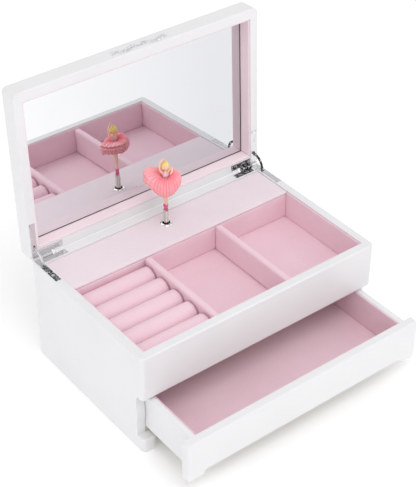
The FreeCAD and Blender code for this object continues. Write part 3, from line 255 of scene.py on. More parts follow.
def mirror_glass(name):
    """Silvered glass, a little darker towards one upper corner: painted reflection shade in the silvering's colour.
    """
    material, tree, shader, place = new_material(name)
    parts = tree.nodes.new("ShaderNodeSeparateXYZ")
    tree.links.new(place, parts.inputs[0])
    # painted reflection shade: the colour darkens from -X to +X across the lid, with a little haze
    across = tree.nodes.new("ShaderNodeMapRange")
    across.inputs["From Min"].default_value = -0.12
    across.inputs["From Max"].default_value = 0.12
    tree.links.new(parts.outputs["X"], across.inputs["Value"])
    haze = noise_node(tree, place, 40, 3)
    mixed = tree.nodes.new("ShaderNodeMath")
    mixed.operation = "MULTIPLY_ADD"
    mixed.inputs[1].default_value = 0.08
    tree.links.new(haze, mixed.inputs[0])
    tree.links.new(across.outputs["Result"], mixed.inputs[2])
    reflection_tint = ramp(tree, mixed.outputs[0], [(0.04, (0.86, 0.865, 0.875)), (0.9, (0.72, 0.725, 0.745))])
    tree.links.new(reflection_tint, shader.inputs["Base Color"])
    shader.inputs["Metallic"].default_value = 1.0
    tree.links.new(spread(tree, haze, 0.004, 0.02), shader.inputs["Roughness"])
    return material


def chrome_with_painted_reflections(name, dark, bright, rough, axis, near, far):
    """Plating with painted reflections: a mottle of painted dark reflection, which turns plain and bright from near
    to far along an axis.
    """
    material, tree, shader, place = new_material(name)
    shader.inputs["Metallic"].default_value = 1.0
    reflection_patches = noise_node(tree, place, 420, 4, 0.55)
    middle = [0.6 * a + 0.4 * b for a, b in zip(dark, bright)]
    # painted dark reflection, mottled into the plating's colour
    mottled = ramp(tree, reflection_patches, [(0.44, dark), (0.54, middle), (0.64, bright)])
    tree.links.new(spread(tree, reflection_patches, rough * 0.7, rough * 1.5), shader.inputs["Roughness"])
    bump(tree, shader, reflection_patches, 0.3, 0.0004)
    plain = ramp(tree, reflection_patches, [(0.2, [c * 0.8 for c in bright]), (0.7, bright)])
    parts = tree.nodes.new("ShaderNodeSeparateXYZ")
    tree.links.new(place, parts.inputs[0])
    along = tree.nodes.new("ShaderNodeMapRange")
    along.inputs["From Min"].default_value = near
    along.inputs["From Max"].default_value = far
    tree.links.new(parts.outputs[axis], along.inputs["Value"])
    mix = tree.nodes.new("ShaderNodeMix")
    mix.data_type = "RGBA"
    tree.links.new(along.outputs["Result"], mix.inputs["Factor"])
    tree.links.new(mottled, mix.inputs["A"])
    tree.links.new(plain, mix.inputs["B"])
    tree.links.new(mix.outputs["Result"], shader.inputs["Base Color"])
    return material


WHITE = lacquer("white_lacquer", (0.825, 0.82, 0.83))
PINK = velvet("pink_velvet", (0.80, 0.56, 0.63), (0.90, 0.68, 0.75))
DECK_PINK = velvet("deck_velvet", (0.78, 0.67, 0.715), (0.88, 0.785, 0.83))
LID_PINK = velvet("lid_velvet", (0.88, 0.71, 0.76), (0.95, 0.82, 0.86))
MIRROR = mirror_glass("mirror_silver")
# near-black colour painted into chrome as dark reflection, and the plain bright plating
PAINTED_DARK_REFLECTION, SILVERY = (0.035, 0.032, 0.034), (0.80, 0.79, 0.80)
CHROME = metal("hinge_chrome", (0.78, 0.76, 0.77), 0.10)
# Copies of the plating with painted reflections, one per part: mottled with painted dark reflection on one side of
# the given line along the axis, plain and bright on the other; the stay is dark on its right arm and bright on its
# left
LEFT_CASE_LEAF = chrome_with_painted_reflections("left_case_leaf_chrome", PAINTED_DARK_REFLECTION, SILVERY, 0.12, "Y", 0.0845, 0.0885)
RIGHT_LEAF = chrome_with_painted_reflections("right_leaf_chrome", PAINTED_DARK_REFLECTION, SILVERY, 0.14, "X", 0.117, 0.121)
STAY = chrome_with_painted_reflections("stay_chrome", PAINTED_DARK_REFLECTION, SILVERY, 0.14, "X", 0.02, -0.02)
STEEL = metal("screw_steel", (0.62, 0.62, 0.63), 0.25)
PLATE = metal("zinc_plate", (0.55, 0.55, 0.55), 0.35, (1.0, 1.0, 0.1))
BRASS = metal("brass", (0.80, 0.62, 0.30), 0.25, (0.1, 1.0, 1.0))
BLUED = metal("blued_steel", (0.30, 0.31, 0.34), 0.3)
COIL = metal("spring_wire", (0.80, 0.74, 0.70), 0.3)
SILVER = metal("ornament_silver", (0.84, 0.84, 0.85), 0.3)
BOARD = board("fibreboard", (0.64, 0.58, 0.50))
SKIN = plastic("doll_skin", (1.0, 0.67, 0.50))
HAIR = plastic("doll_hair", (1.0, 0.76, 0.24), 0.45, 0.75)
BODICE = plastic("doll_bodice", (0.80, 0.62, 0.74), 0.3)
SHOE = plastic("doll_shoe", (0.86, 0.12, 0.32), 0.3)
FEATURE = plastic("doll_features", (0.55, 0.20, 0.16), 0.4)
# the second colour is the painted shade of the folds and the waist
NET = net("coral_net", (1.0, 0.46, 0.50), (0.96, 0.20, 0.26))

FINISHES = {
    "white_lacquer": WHITE,
    "bare_board": BOARD,
    "pink_velvet": PINK,
    "mirror_glass": MIRROR,
    "chrome_steel": CHROME,
    "screw_steel": STEEL,
    "ornament_silver": SILVER,
    "zinc_plate": PLATE,
    "comb_steel": STEEL,
    "brass": BRASS,
    "spring_steel": BLUED,
    "dancer_plastic": SKIN,
    "net_coral": NET,
    "key_steel": CHROME,
}


def dress(obj, material):
    """Gives an object one material."""
    obj.data.materials.clear()
    obj.data.materials.append(material)


for row in frame["record"]["subparts"]:
    dress(nodes[row["node"]], FINISHES[row["material_slot"]])

# The hinge leaves and the stay get the plating copies with painted dark and bright reflections
dress(nodes["left_case_hinge_leaf"], LEFT_CASE_LEAF)
dress(nodes["right_case_hinge_leaf"], RIGHT_LEAF)
dress(nodes["right_lid_hinge_leaf"], RIGHT_LEAF)
dress(nodes["stay_arms"], STAY)
dress(nodes["case_hinge_screws"], CHROME)
dress(nodes["lid_hinge_screws"], CHROME)

EASED = {
    "left_side_panel": 0.7, "right_side_panel": 0.7, "back_panel": 0.5,
    "lid_rail_left": 0.6, "lid_rail_right": 0.6, "lid_rail_back": 0.5,
    "drawer_side_left": 0.4, "drawer_side_right": 0.4, "drawer_back": 0.5,
    "front_feet": 0.5, "winding_key": 0.35,
}
for name, width in EASED.items():
    edge = nodes[name].modifiers.new("eased_edges", "BEVEL")
    edge.width = width * MM
    edge.segments = 3
    edge.limit_method = "ANGLE"
    edge.angle_limit = math.radians(50)
    edge.harden_normals = True


# ---------------------------------------------------------------- mesh helpers
def mesh_piece(name, points, faces, material, body):
    """A mesh piece from points in millimetres, riding on a body."""
    mesh = bpy.data.meshes.new(name)
    mesh.from_pydata([tuple(c * MM for c in p) for p in points], [], faces)
    mesh.validate()
    bm = bmesh.new()
    bm.from_mesh(mesh)
    bmesh.ops.remove_doubles(bm, verts=bm.verts, dist=1e-7)
    bmesh.ops.recalc_face_normals(bm, faces=bm.faces)
    bm.to_mesh(mesh)
    bm.free()
    obj = bpy.data.objects.new(name, mesh)
    bpy.context.scene.collection.objects.link(obj)
    dress(obj, material)
    mesh.shade_smooth()
    if body:
        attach(obj, body)
    return obj


def finish_mesh(obj):
    """Replaces an object's mesh with what its modifiers make of it."""
    graph = bpy.context.evaluated_depsgraph_get()
    made = bpy.data.meshes.new_from_object(obj.evaluated_get(graph), depsgraph=graph)
    obj.modifiers.clear()
    obj.data = made
    made.shade_smooth()
    return obj


def grid_box(low, high, step, round_r):
    """Points and faces of a box with evenly divided faces and rounded edges, in mm."""
    low, high = np.array(low, float), np.array(high, float)
    size = high - low
    counts = np.maximum(np.ceil(size / step).astype(int), 3)
    edges = []
    for a in range(3):
        r = min(round_r, size[a] / 2 - 1e-4)
        inner = np.linspace(r, size[a] - r, counts[a] + 1)
        rim = r * (1 - np.cos(np.linspace(0, math.pi / 2, 4)[:-1]))
        edges.append(np.concatenate([rim, inner, size[a] - rim[::-1]]))
    points, faces, index = [], [], {}

    def corner(i, j, k):
        key = (i, j, k)
        if key not in index:
            index[key] = len(points)
            points.append([edges[0][i], edges[1][j], edges[2][k]])
        return index[key]

    nx, ny, nz = (len(e) - 1 for e in edges)
    for i in range(nx):
        for j in range(ny):
            for k in (0, nz):
                faces.append([
                    corner(i, j, k), corner(i + 1, j, k), corner(i + 1, j + 1, k), corner(i, j + 1, k),
                ])
    for i in range(nx):
        for k in range(nz):
            for j in (0, ny):
                faces.append([
                    corner(i, j, k), corner(i + 1, j, k), corner(i + 1, j, k + 1), corner(i, j, k + 1),
                ])
    for j in range(ny):
        for k in range(nz):
            for i in (0, nx):
                faces.append([
                    corner(i, j, k), corner(i, j + 1, k), corner(i, j + 1, k + 1), corner(i, j, k + 1),
                ])
    points = np.array(points)
    r = np.minimum(round_r, size / 2 - 1e-4)
    core = np.clip(points, r, size - r)
    out = (points - core) / r
    length = np.linalg.norm(out, axis=1, keepdims=True)
    outward = np.where(length > 1e-9, out / np.maximum(length, 1e-9), 0)
    return core + outward * r + low, faces


def padded_board(name, low, high, round_r, body, material, crown=0.0, step=2.5, seed=0, loose=0.12):
    """Velvet over card or foam: soft edges, a slight crown across its faces and small unevenness."""
    points, faces = grid_box(low, high, step, round_r)
    low, high = np.array(low, float), np.array(high, float)
    middle, half = (low + high) / 2, (high - low) / 2
    thin = int(np.argmin(half))
    others = [a for a in range(3) if a != thin]
    share = (points - middle) / half
    belly = np.prod([1 - share[:, a] ** 4 for a in others], axis=0)
    points[:, thin] += np.sign(share[:, thin]) * crown * belly * np.abs(share[:, thin])
    for p in points:
        wobble = noise.noise(Vector(p * 0.11) + Vector((seed * 7.3, 1.7, 4.1)))
        side = (p[thin] - middle[thin]) / half[thin]
        p[thin] += side * (wobble - 0.3) * loose
    obj = mesh_piece(name, points, faces, material, body)
    return obj


def tube(path, radius, sides=12, closed=False):
    """Points and faces of a round bar along a path of points, with its own radius at each."""
    path = [Vector(p) for p in path]
    count = len(path)
    radii = radius if hasattr(radius, "__len__") else [radius] * count
    points, faces = [], []
    side_way = None
    for n, p in enumerate(path):
        before = path[(n - 1) % count] if closed or n else path[0]
        after = path[(n + 1) % count] if closed or n < count - 1 else path[-1]
        along = (after - before).normalized()
        if side_way is None:
            side_way = along.orthogonal().normalized()
        side_way = (side_way - along * side_way.dot(along)).normalized()
        up = along.cross(side_way)
        for s in range(sides):
            turn = 2 * math.pi * s / sides
            points.append(p + (side_way * math.cos(turn) + up * math.sin(turn)) * radii[n])
    runs = count if closed else count - 1
    for n in range(runs):
        for s in range(sides):
            a, b = n * sides + s, n * sides + (s + 1) % sides
            c, d = ((n + 1) % count) * sides + (s + 1) % sides, ((n + 1) % count) * sides + s
            faces.append([a, b, c, d])
    if not closed:
        faces.append(list(range(sides))[::-1])
        faces.append(list(range((count - 1) * sides, count * sides)))
    return points, faces


def merge(*shapes):
    """Several point-and-face sets as one."""
    points, faces = [], []
    for more_points, more_faces in shapes:
        start = len(points)
        points += list(more_points)
        faces += [[i + start for i in face] for face in more_faces]
    return points, faces


def lathe(profile, sides=40, centre=(0, 0), squash_y=1.0):
    """A turned shape from (radius, height) pairs."""
    points, faces = [], []
    for radius, height in profile:
        for s in range(sides):
            turn = 2 * math.pi * s / sides
            across, along = radius * math.cos(turn), radius * math.sin(turn) * squash_y
            points.append((centre[0] + across, centre[1] + along, height))
    for n in range(len(profile) - 1):
        for s in range(sides):
            a, b = n * sides + s, n * sides + (s + 1) % sides
            faces.append([a, b, b + sides, a + sides])
    faces.append(list(range(sides))[::-1])
    faces.append(list(range((len(profile) - 1) * sides, len(profile) * sides)))
    return points, faces


def ball(centre, radii, rings=16, sides=24):
    """An ellipsoid as points and faces."""
    points, faces = [], []
    for n in range(1, rings):
        lat = math.pi * n / rings
        for s in range(sides):
            lon = 2 * math.pi * s / sides
            points.append((
                centre[0] + radii[0] * math.sin(lat) * math.cos(lon),
                centre[1] + radii[1] * math.sin(lat) * math.sin(lon),
                centre[2] + radii[2] * math.cos(lat),
            ))
    for n in range(rings - 2):
        for s in range(sides):
            a, b = n * sides + s, n * sides + (s + 1) % sides
            faces.append([a, b, b + sides, a + sides])
    faces.append(list(range(sides)))
    faces.append(list(range((rings - 2) * sides, (rings - 1) * sides))[::-1])
    return points, faces


def corners_mm(node):
    """A node's lowest and highest corner in millimetres."""
    low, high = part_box(node)
    return [c / MM for c in low], [c / MM for c in high]


# ---------------------------------------------------------------- velvet tray
TRAY_LOW, TRAY_HIGH = corners_mm("tray_linings")
DRAWER_LOW, DRAWER_HIGH = corners_mm("drawer_wall_linings")
LINING = 1.5
DIVIDER = 6.5
DRAWER_LINING = 1.2


def tray_boxes():
    """Lining boards of the tray: floor, front, back, left and right."""
    (x0, y0, z0), (x1, y1, z1) = TRAY_LOW, TRAY_HIGH
    floor = corners_mm("ring_roll_base")[0][2]
    deck = corners_mm("music_deck")[0][2]
    edge = corners_mm("tray_dividers")[1][1]
    return [
        ((x0, y0, z0), (x1, y1, floor)),
        ((x0, y0, floor), (x1, y0 + LINING, z1)),
        ((x0, y1 - LINING, floor), (x1, y1, deck)),
        ((x0, y0 + LINING, floor), (x0 + LINING, edge, z1)),
        ((x1 - LINING, y0 + LINING, floor), (x1, edge, z1)),
    ]


def divider_boxes():
    """The two dividing walls, found by their outer faces and width."""
    low, high = corners_mm("tray_dividers")
    return [
        (low, (low[0] + DIVIDER, high[1], high[2])),
        ((high[0] - DIVIDER, low[1], low[2]), high),
    ]


def drawer_boxes():
    """Lining strips round the drawer's inside."""
    (x0, y0, z0), (x1, y1, z1) = DRAWER_LOW, DRAWER_HIGH
    t = DRAWER_LINING
    return [
        ((x0, y0, z0), (x1, y0 + t, z1)),
        ((x0, y1 - t, z0), (x1, y1, z1)),
        ((x0, y0 + t, z0), (x0 + t, y1 - t, z1)),
        ((x1 - t, y0 + t, z0), (x1, y1 - t, z1)),
    ]


def line_with_velvet(node, boxes, body, material, crown, step=3.0, soft=0.7):
    """Each card of a lining node as its own soft board."""
    for n, (low, high) in enumerate(boxes):
        size = min(b - a for a, b in zip(low, high))
        round_r = min(soft, size * 0.48)
        obj = padded_board(f"{node}_{n + 1}", low, high, round_r, body, material, crown, step, n)
        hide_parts(node)


line_with_velvet("tray_linings", tray_boxes(), "case", PINK, 0.05)
line_with_velvet("tray_dividers", divider_boxes(), "case", PINK, 0.10, 1.5, 2.4)
line_with_velvet("ring_roll_base", [corners_mm("ring_roll_base")], "case", PINK, 0.0)
line_with_velvet("drawer_floor_lining", [corners_mm("drawer_floor_lining")], "drawer", PINK, 0.05)
line_with_velvet("drawer_wall_linings", drawer_boxes(), "drawer", PINK, 0.03)


def soften(obj, voxel, pressure, cap, frames=20):
    """Inflates a piece as sewn cloth, keeps each point within cap of where it was, and applies it."""
    remesh = obj.modifiers.new("even", "REMESH")
    remesh.mode = "VOXEL"
    remesh.voxel_size = voxel * MM
    finish_mesh(obj)
    start = np.array([v.co for v in obj.data.vertices])
    cloth = obj.modifiers.new("cloth", "CLOTH")
    cloth.settings.use_pressure = True
    cloth.settings.uniform_pressure_force = pressure
    cloth.settings.effector_weights.gravity = 0
    cloth.settings.quality = 5
    cloth.settings.tension_stiffness = 25
    cloth.settings.compression_stiffness = 25
    cloth.settings.bending_stiffness = 0.4
    cloth.point_cache.frame_start = 1
    cloth.point_cache.frame_end = frames
    for n in range(1, frames + 1):
        bpy.context.scene.frame_set(n)
    graph = bpy.context.evaluated_depsgraph_get()
    moved = np.array([v.co for v in obj.evaluated_get(graph).data.vertices])
    bpy.context.scene.frame_set(1)
    obj.modifiers.clear()
    shift = moved - start
    length = np.linalg.norm(shift, axis=1, keepdims=True)
    shift *= np.minimum(1, cap * MM / np.maximum(length, 1e-12))
    obj.data.vertices.foreach_set("co", (start + shift).astype(np.float32).ravel())
    obj.data.update()
    return obj


def ring_rolls():
    """Foam rolls in velvet: puffed bodies with gathered end discs and a seam round each end."""
    all_low, all_high = corners_mm("ring_rolls")
    radius = (all_high[2] - all_low[2]) / 2
    pitch = (all_high[1] - all_low[1] - 2 * radius) / 4
    for n in range(5):
        y, z = all_low[1] + radius + pitch * n, (all_low[2] + all_high[2]) / 2
        low, high = (all_low[0], y - radius, z - radius), (all_high[0], y + radius, z + radius)
        profile = [(0.0, 0.35), (0.35, 0.75), (0.75, 0.93), (1.6, 0.965)]
        length = high[0] - low[0]
        steps = 26
        stations = list(profile)
        for s in range(1, steps):
            stations.append((1.6 + (length - 3.2) * s / steps, 0.965 + 0.012 * math.sin(math.pi * s / steps)))
        stations += [(length - x, r) for x, r in reversed(profile)]
        sides = 44
        points, faces = [], []
        for x, share in stations:
            for s in range(sides):
                turn = 2 * math.pi * s / sides
                spot = Vector((x * 0.07 + n * 9, math.cos(turn) * 1.4, math.sin(turn) * 1.4))
                wrinkle = 1 + 0.012 * noise.noise(spot)
                r = radius * share * wrinkle
                points.append((low[0] + x, y + r * math.cos(turn), z + r * math.sin(turn)))
        for i in range(len(stations) - 1):
            for s in range(sides):
                a, b = i * sides + s, i * sides + (s + 1) % sides
                faces.append([a, b, b + sides, a + sides])
        faces.append(list(range(sides))[::-1])
        faces.append(list(range((len(stations) - 1) * sides, len(stations) * sides)))
        roll = mesh_piece(f"ring_roll_{n + 1}", points, faces, PINK, "case")
        soften(roll, 1.6, 3.0, 0.25)
        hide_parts("ring_rolls")
        seams = []
        for x in (low[0] + 1.2, high[0] - 1.2):
            ring = []
            for s in range(60):
                turn = 2 * math.pi * s / 60
                ring.append((x, y + radius * 0.955 * math.cos(turn), z + radius * 0.955 * math.sin(turn)))
            seams.append(tube(ring, 0.28, 8, closed=True))
        points, faces = merge(*seams)
        mesh_piece(f"ring_roll_seam_{n + 1}", points, faces, SEAM, "case")


SEAM = velvet("seam_velvet", (0.50, 0.20, 0.28), (0.68, 0.38, 0.46))
ring_rolls()


def music_deck():
    """Padded deck with a soft front edge, and holes for the dancer's spindle and the stop wire."""
    low, high = corners_mm("music_deck")
    obj = padded_board("music_deck_velvet", low, high, 1.2, "case", DECK_PINK, 0.05, 2.5, 3)
    eyelet_low, eyelet_high = corners_mm("spindle_eyelet")
    wire_high = corners_mm("stop_wire")[1]
    holes = [
        (0.0, (eyelet_low[1] + eyelet_high[1]) / 2, 4.3),
        (wire_high[0] - 0.5, wire_high[1] - 0.5, 0.75),
    ]
    for n, (x, y, radius) in enumerate(holes):
        points, faces = lathe([(radius, low[2] - 3), (radius, high[2] + 3)], 40, (x, y))
        cutter = mesh_piece(f"cutter_{n}", points, faces, DECK_PINK, None)
        cutting = obj.modifiers.new("hole", "BOOLEAN")
        cutting.object = cutter
        cutting.solver = "EXACT"
        finish_mesh(obj)
        bpy.data.objects.remove(cutter)
    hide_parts("music_deck")


music_deck()


# ---------------------------------------------------------------- lid: linings turned with the open lid
def lid_frame():
    """The lid's own axes at rest: across, from the hinge to the free edge, and from the rim inward."""
    hinge = next(j for j in frame["joints"] if j["name"] == "lid_hinge")
    open_angle = math.radians(hinge["range_deg"][1])
    origin = Vector(hinge["pos_m"]) / MM
    outward = Vector((0, -math.cos(open_angle), math.sin(open_angle)))
    inward = Vector((0, math.sin(open_angle), math.cos(open_angle)))
    return origin, outward, inward


LID_ORIGIN, LID_OUT, LID_IN = lid_frame()
LID_DEPTH = 164.0
LID_RAIL = 9.5


def on_lid(x, s, t):
    """A point given by its place across the lid, from the hinge, and in from the rim."""
    return LID_ORIGIN + Vector((x, 0, 0)) + LID_OUT * s + LID_IN * t


def lid_linings():
    """Four velvet strips round the mirror."""
    inside = corners_mm("lid_linings")[1][0]
    depth, rail, lining = LID_DEPTH, LID_RAIL, LINING
    top = 13.5
    strips = [
        ((-inside, rail, 1.0), (inside, rail + lining, top)),
        ((-inside, depth - rail - lining, 1.0), (inside, depth - rail, top)),
        ((-inside, rail + lining, 1.0), (-inside + lining, depth - rail - lining, top)),
        ((inside - lining, rail + lining, 1.0), (inside, depth - rail - lining, top)),
    ]
    for n, (low, high) in enumerate(strips):
        obj = padded_board(f"lid_lining_{n + 1}", low, high, 0.6, None, LID_PINK, 0.03, 3.0, n + 20)
        for v in obj.data.vertices:
            v.co = on_lid(*(c / MM for c in v.co)) * MM
        obj.data.update()
        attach(obj, "lid")
        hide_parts("lid_linings")


lid_linings()


def mirror_edge():
    """A thin dark tube round the glass where it meets its linings: painted shadow, standing in for the shade in that
    joint.
    """
    inset, glass = 0.25, 13.3
    side = corners_mm("lid_linings")[1][0] - LINING - inset
    near, far = LID_RAIL + LINING + inset, LID_DEPTH - LID_RAIL - LINING - inset
    shapes = []
    for a, b in (((-side, near), (side, near)), ((side, near), (side, far)),
                 ((side, far), (-side, far)), ((-side, far), (-side, near))):
        steps = []
        for n in range(13):
            steps.append(on_lid(a[0] + (b[0] - a[0]) * n / 12, a[1] + (b[1] - a[1]) * n / 12, glass))
        shapes.append(tube(steps, 0.3, 8))
    points, faces = merge(*shapes)
    mesh_piece("mirror_edge_shadow_line", points, faces, EDGE_SHADOW_PAINT, "lid")


# near-black colour of the painted edge shadow
EDGE_SHADOW_PAINT = plastic("painted_edge_shadow", (0.075, 0.06, 0.065), 0.4)
mirror_edge()


def lid_ornament():
    """Silvered relief on the lid's front edge: a plain small spray of leaves and beads."""
    low, high = corners_mm("lid_ornament")
    middle, half = (low[0] + high[0]) / 2, (high[0] - low[0]) / 2
    face, height = LID_DEPTH, 7.0
    shapes = []
    for side in (-1, 1):
        stem = []
        for n in range(33):
            u = n / 32
            stem.append(on_lid(middle + side * half * u, face + 0.25, height + 1.5 * math.sin(u * math.pi * 3)))
        shapes.append(tube(stem, [0.34 * (1 - 0.5 * n / 32) for n in range(33)], 8))
        for n in range(11):
            u = (n + 0.7) / 11.5
            x = middle + side * half * u
            t = height + 1.5 * math.sin(u * math.pi * 3)
            flip = 1 if n % 2 else -1
            leaf = []
            widths = []
            for k in range(9):
                v = k / 8
                leaf.append(on_lid(x + side * 2.3 * v, face + 0.25, t + flip * (0.2 + 2.5 * v)))
                widths.append(0.14 + 0.55 * math.sin(math.pi * v))
            shapes.append(tube(leaf, widths, 8))
            for away, size in ((1.6, 0.5), (2.9, 0.36)):
                spot = on_lid(x + side * (0.6 + 0.4 * away), face + 0.25, t - flip * away)
                shapes.append(ball(spot, (size, size, size), 8, 10))
    for n in range(6):
        turn = math.pi * n / 3
        petal = on_lid(middle + 1.3 * math.cos(turn), face + 0.25, height + 1.3 * math.sin(turn))
        shapes.append(ball(petal, (0.6, 0.45, 0.6), 8, 12))
    shapes.append(ball(on_lid(middle, face + 0.3, height), (0.6, 0.6, 0.6), 8, 12))
    points, faces = merge(*shapes)
    obj = mesh_piece("lid_filigree", points, faces, SILVER, "lid")
    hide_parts("lid_ornament")


lid_ornament()


# ---------------------------------------------------------------- dancer
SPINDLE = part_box("dancer_spindle")
AXIS = ((SPINDLE[0][0] + SPINDLE[1][0]) / 2 / MM, (SPINDLE[0][1] + SPINDLE[1][1]) / 2 / MM)
FACING = math.radians(-14)


def at_dancer(x, y, z):
    """A point of the dancer, who faces -y in its own axes."""
    c, s = math.cos(FACING), math.sin(FACING)
    return Vector((AXIS[0] + x * c - y * s, AXIS[1] + x * s + y * c, z))


def placed(shape):
    """A shape moved from the dancer's own axes to its place."""
    points, faces = shape
    return [at_dancer(*p) for p in points], faces


def coil_spring():
    """Close-wound wire post."""
    low, high = corners_mm("dancer_spring")
    wire, radius, pitch = 0.36, 2.24, 0.80
    turns = (high[2] - low[2] - 2 * wire) / pitch
    count = int(turns * 28)
    path = []
    for n in range(count + 1):
        angle = 2 * math.pi * turns * n / count
        path.append((AXIS[0] + radius * math.cos(angle), AXIS[1] + radius * math.sin(angle),
                     low[2] + wire + (high[2] - low[2] - 2 * wire) * n / count))
    points, faces = tube(path, wire, 8)
    obj = mesh_piece("coil_spring", points, faces, COIL, None)
    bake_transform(obj)
    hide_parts("dancer_spring")


def limb(path, radii, steps=8, sides=16):
    """A smooth tapering limb through a few points."""
    path = [Vector(p) for p in path]
    points, sizes = [], []
    for n in range(len(path) - 1):
        before = path[max(n - 1, 0)]
        after = path[min(n + 2, len(path) - 1)]
        for k in range(steps):
            u = k / steps
            a = 2 * path[n]
            b = (path[n + 1] - before) * u
            c = (2 * before - 5 * path[n] + 4 * path[n + 1] - after) * u * u
            d = (3 * path[n] - before - 3 * path[n + 1] + after) * u ** 3
            points.append((a + b + c + d) / 2)
            sizes.append(radii[n] + (radii[n + 1] - radii[n]) * u)
    points.append(path[-1])
    sizes.append(radii[-1])
    return tube(points, sizes, sides)


def dancer_figure():
    """Small moulded figure on one leg, one arm over its head."""
    base = corners_mm("dancer_figure")[0][2]
    head = Vector((0, -0.6, 165.4))
    made = []

    legs = merge(
        limb([(0.3, 0, base + 4.2), (0.5, 0.1, 131), (0.7, -0.2, 139), (1.5, 0, 147), (1.6, 0, 151)],
             [1.25, 1.55, 1.75, 2.2, 2.4]),
        limb([(-0.2, 0.5, base + 5.2), (-0.9, 0.9, 130), (-1.1, 0.3, 139), (-1.5, 0, 147), (-1.6, 0, 151)],
             [0.9, 1.35, 1.7, 2.2, 2.4]),
    )
    neck_and_head = merge(
        limb([(0, 0.3, 158.2), (0, 0, 160.4), (0, -0.3, 163.0)], [2.2, 1.15, 1.1]),
        ball(head, (2.9, 3.0, 3.4), 20, 28),
        ball(head + Vector((0, -2.85, -0.5)), (0.34, 0.42, 0.42), 8, 10),
    )
    arms = [
        limb([(-2.3, 0.1, 158.6), (-4.5, -0.2, 161.2), (-5.9, -0.4, 165.6), (-5.2, -0.4, 170.2),
              (-3.0, -0.5, 173.0), (-1.2, -0.6, 173.6)], [1.15, 1.05, 0.9, 0.8, 0.65, 0.5]),
        limb([(2.3, 0.1, 158.6), (4.4, -0.2, 161.2), (5.9, -0.9, 162.4), (5.5, -2.4, 160.8),
              (3.9, -3.8, 159.2), (2.6, -4.1, 158.6)], [1.15, 1.05, 0.9, 0.8, 0.7, 0.5]),
    ]
    for side in (-1, 1):
        arms.append(ball(Vector((side * 2.5, 0.1, 158.3)), (1.2, 1.1, 1.1), 10, 14))
    points, faces = placed(merge(legs, neck_and_head, *arms))
    made.append(mesh_piece("dancer_body", points, faces, SKIN, "dancer"))

    bodice = lathe([
        (2.3, 149.0), (2.5, 150.2), (2.25, 151.6), (2.2, 153.0),
        (2.7, 155.0), (3.0, 156.6), (2.9, 157.8), (2.3, 158.5),
    ], 36, (0, 0), 0.82)
    straps = []
    for side in (-1, 1):
        straps.append(tube([
            (side * 1.5, -1.75, 157.6), (side * 2.0, -1.2, 159.0), (side * 1.8, 0.4, 159.5), (side * 1.3, 1.6, 158.0),
        ], 0.28, 8))
        straps.append(ball(Vector((side * 1.2, -1.75, 156.3)), (1.15, 0.9, 1.0), 10, 14))
    points, faces = placed(merge(bodice, *straps))
    made.append(mesh_piece("dancer_bodice", points, faces, BODICE, "dancer"))

    hair = [ball(head + Vector((0, 1.0, 0.95)), (3.75, 3.3, 3.5), 20, 28)]
    for side in (-1, 1):
        hair.append(ball(head + Vector((side * 2.75, -0.2, -0.7)), (0.95, 1.5, 1.9), 12, 16))
    bun = head + Vector((0, 0.6, 4.0))
    hair.append(ball(bun, (1.45, 1.45, 1.1), 12, 20))
    for n in range(9):
        turn = 2 * math.pi * n / 9
        lock = []
        for k in range(5):
            twist = turn + k * 0.25
            lock.append(bun + Vector((1.3 * math.cos(twist), 1.3 * math.sin(twist), -0.9 + k * 0.5)))
        hair.append(tube(lock, [0.25, 0.42, 0.45, 0.38, 0.2], 8))
    for n in range(13):
        side = (n - 6) / 6
        start = head + Vector((side * 2.7, -1.1 - 1.25 * (1 - abs(side) ** 1.5), 1.3 + 0.6 * (1 - abs(side))))
        middle = head + Vector((side * 2.2, 0.2, 3.1 - 0.7 * abs(side)))
        end = bun + Vector((side * 0.9, 0.0, -0.5))
        hair.append(limb([start, middle, end], [0.3, 0.42, 0.25], 6, 8))
    points, faces = placed(merge(*hair))
    made.append(mesh_piece("dancer_hair", points, faces, HAIR, "dancer"))

    ribbon = []
    for n in range(24):
        turn = 2 * math.pi * n / 24
        ribbon.append((1.7 * math.cos(turn) + 0.3, 1.7 * math.sin(turn), base + 5.0 + 0.25 * math.cos(n)))
    shoes = merge(
        limb([(0.0, 0, base + 0.15), (0.15, 0, base + 2.2), (0.35, -0.1, base + 5.2)], [1.15, 1.75, 1.45]),
        limb([(-0.5, 0.3, base + 1.2), (-0.9, 0.7, base + 3.2), (-0.8, 0.9, base + 5.6)], [0.7, 1.35, 1.15]),
        lathe([(1.5, base), (2.0, base + 0.3), (2.0, base + 0.8), (1.4, base + 1.2)], 30),
        tube(ribbon, 0.25, 6, closed=True),
    )
    points, faces = placed(shoes)
    made.append(mesh_piece("dancer_shoes", points, faces, SHOE, "dancer"))

    face_marks = []
    for side in (-1, 1):
        face_marks.append(ball(head + Vector((side * 1.05, -2.55, 0.25)), (0.34, 0.2, 0.2), 8, 10))
        brow = []
        for k in range(4):
            brow.append(head + Vector((side * (0.6 + 0.25 * k), -2.72 + 0.05 * k * k, 0.95 + 0.08 * math.sin(k))))
        face_marks.append(tube(brow, 0.07, 6))
    face_marks.append(ball(head + Vector((0, -2.55, -1.45)), (0.5, 0.22, 0.18), 8, 10))
    points, faces = placed(merge(*face_marks))
    made.append(mesh_piece("dancer_face_paint", points, faces, FEATURE, "dancer"))
    for obj in made:
        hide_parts("dancer_figure")


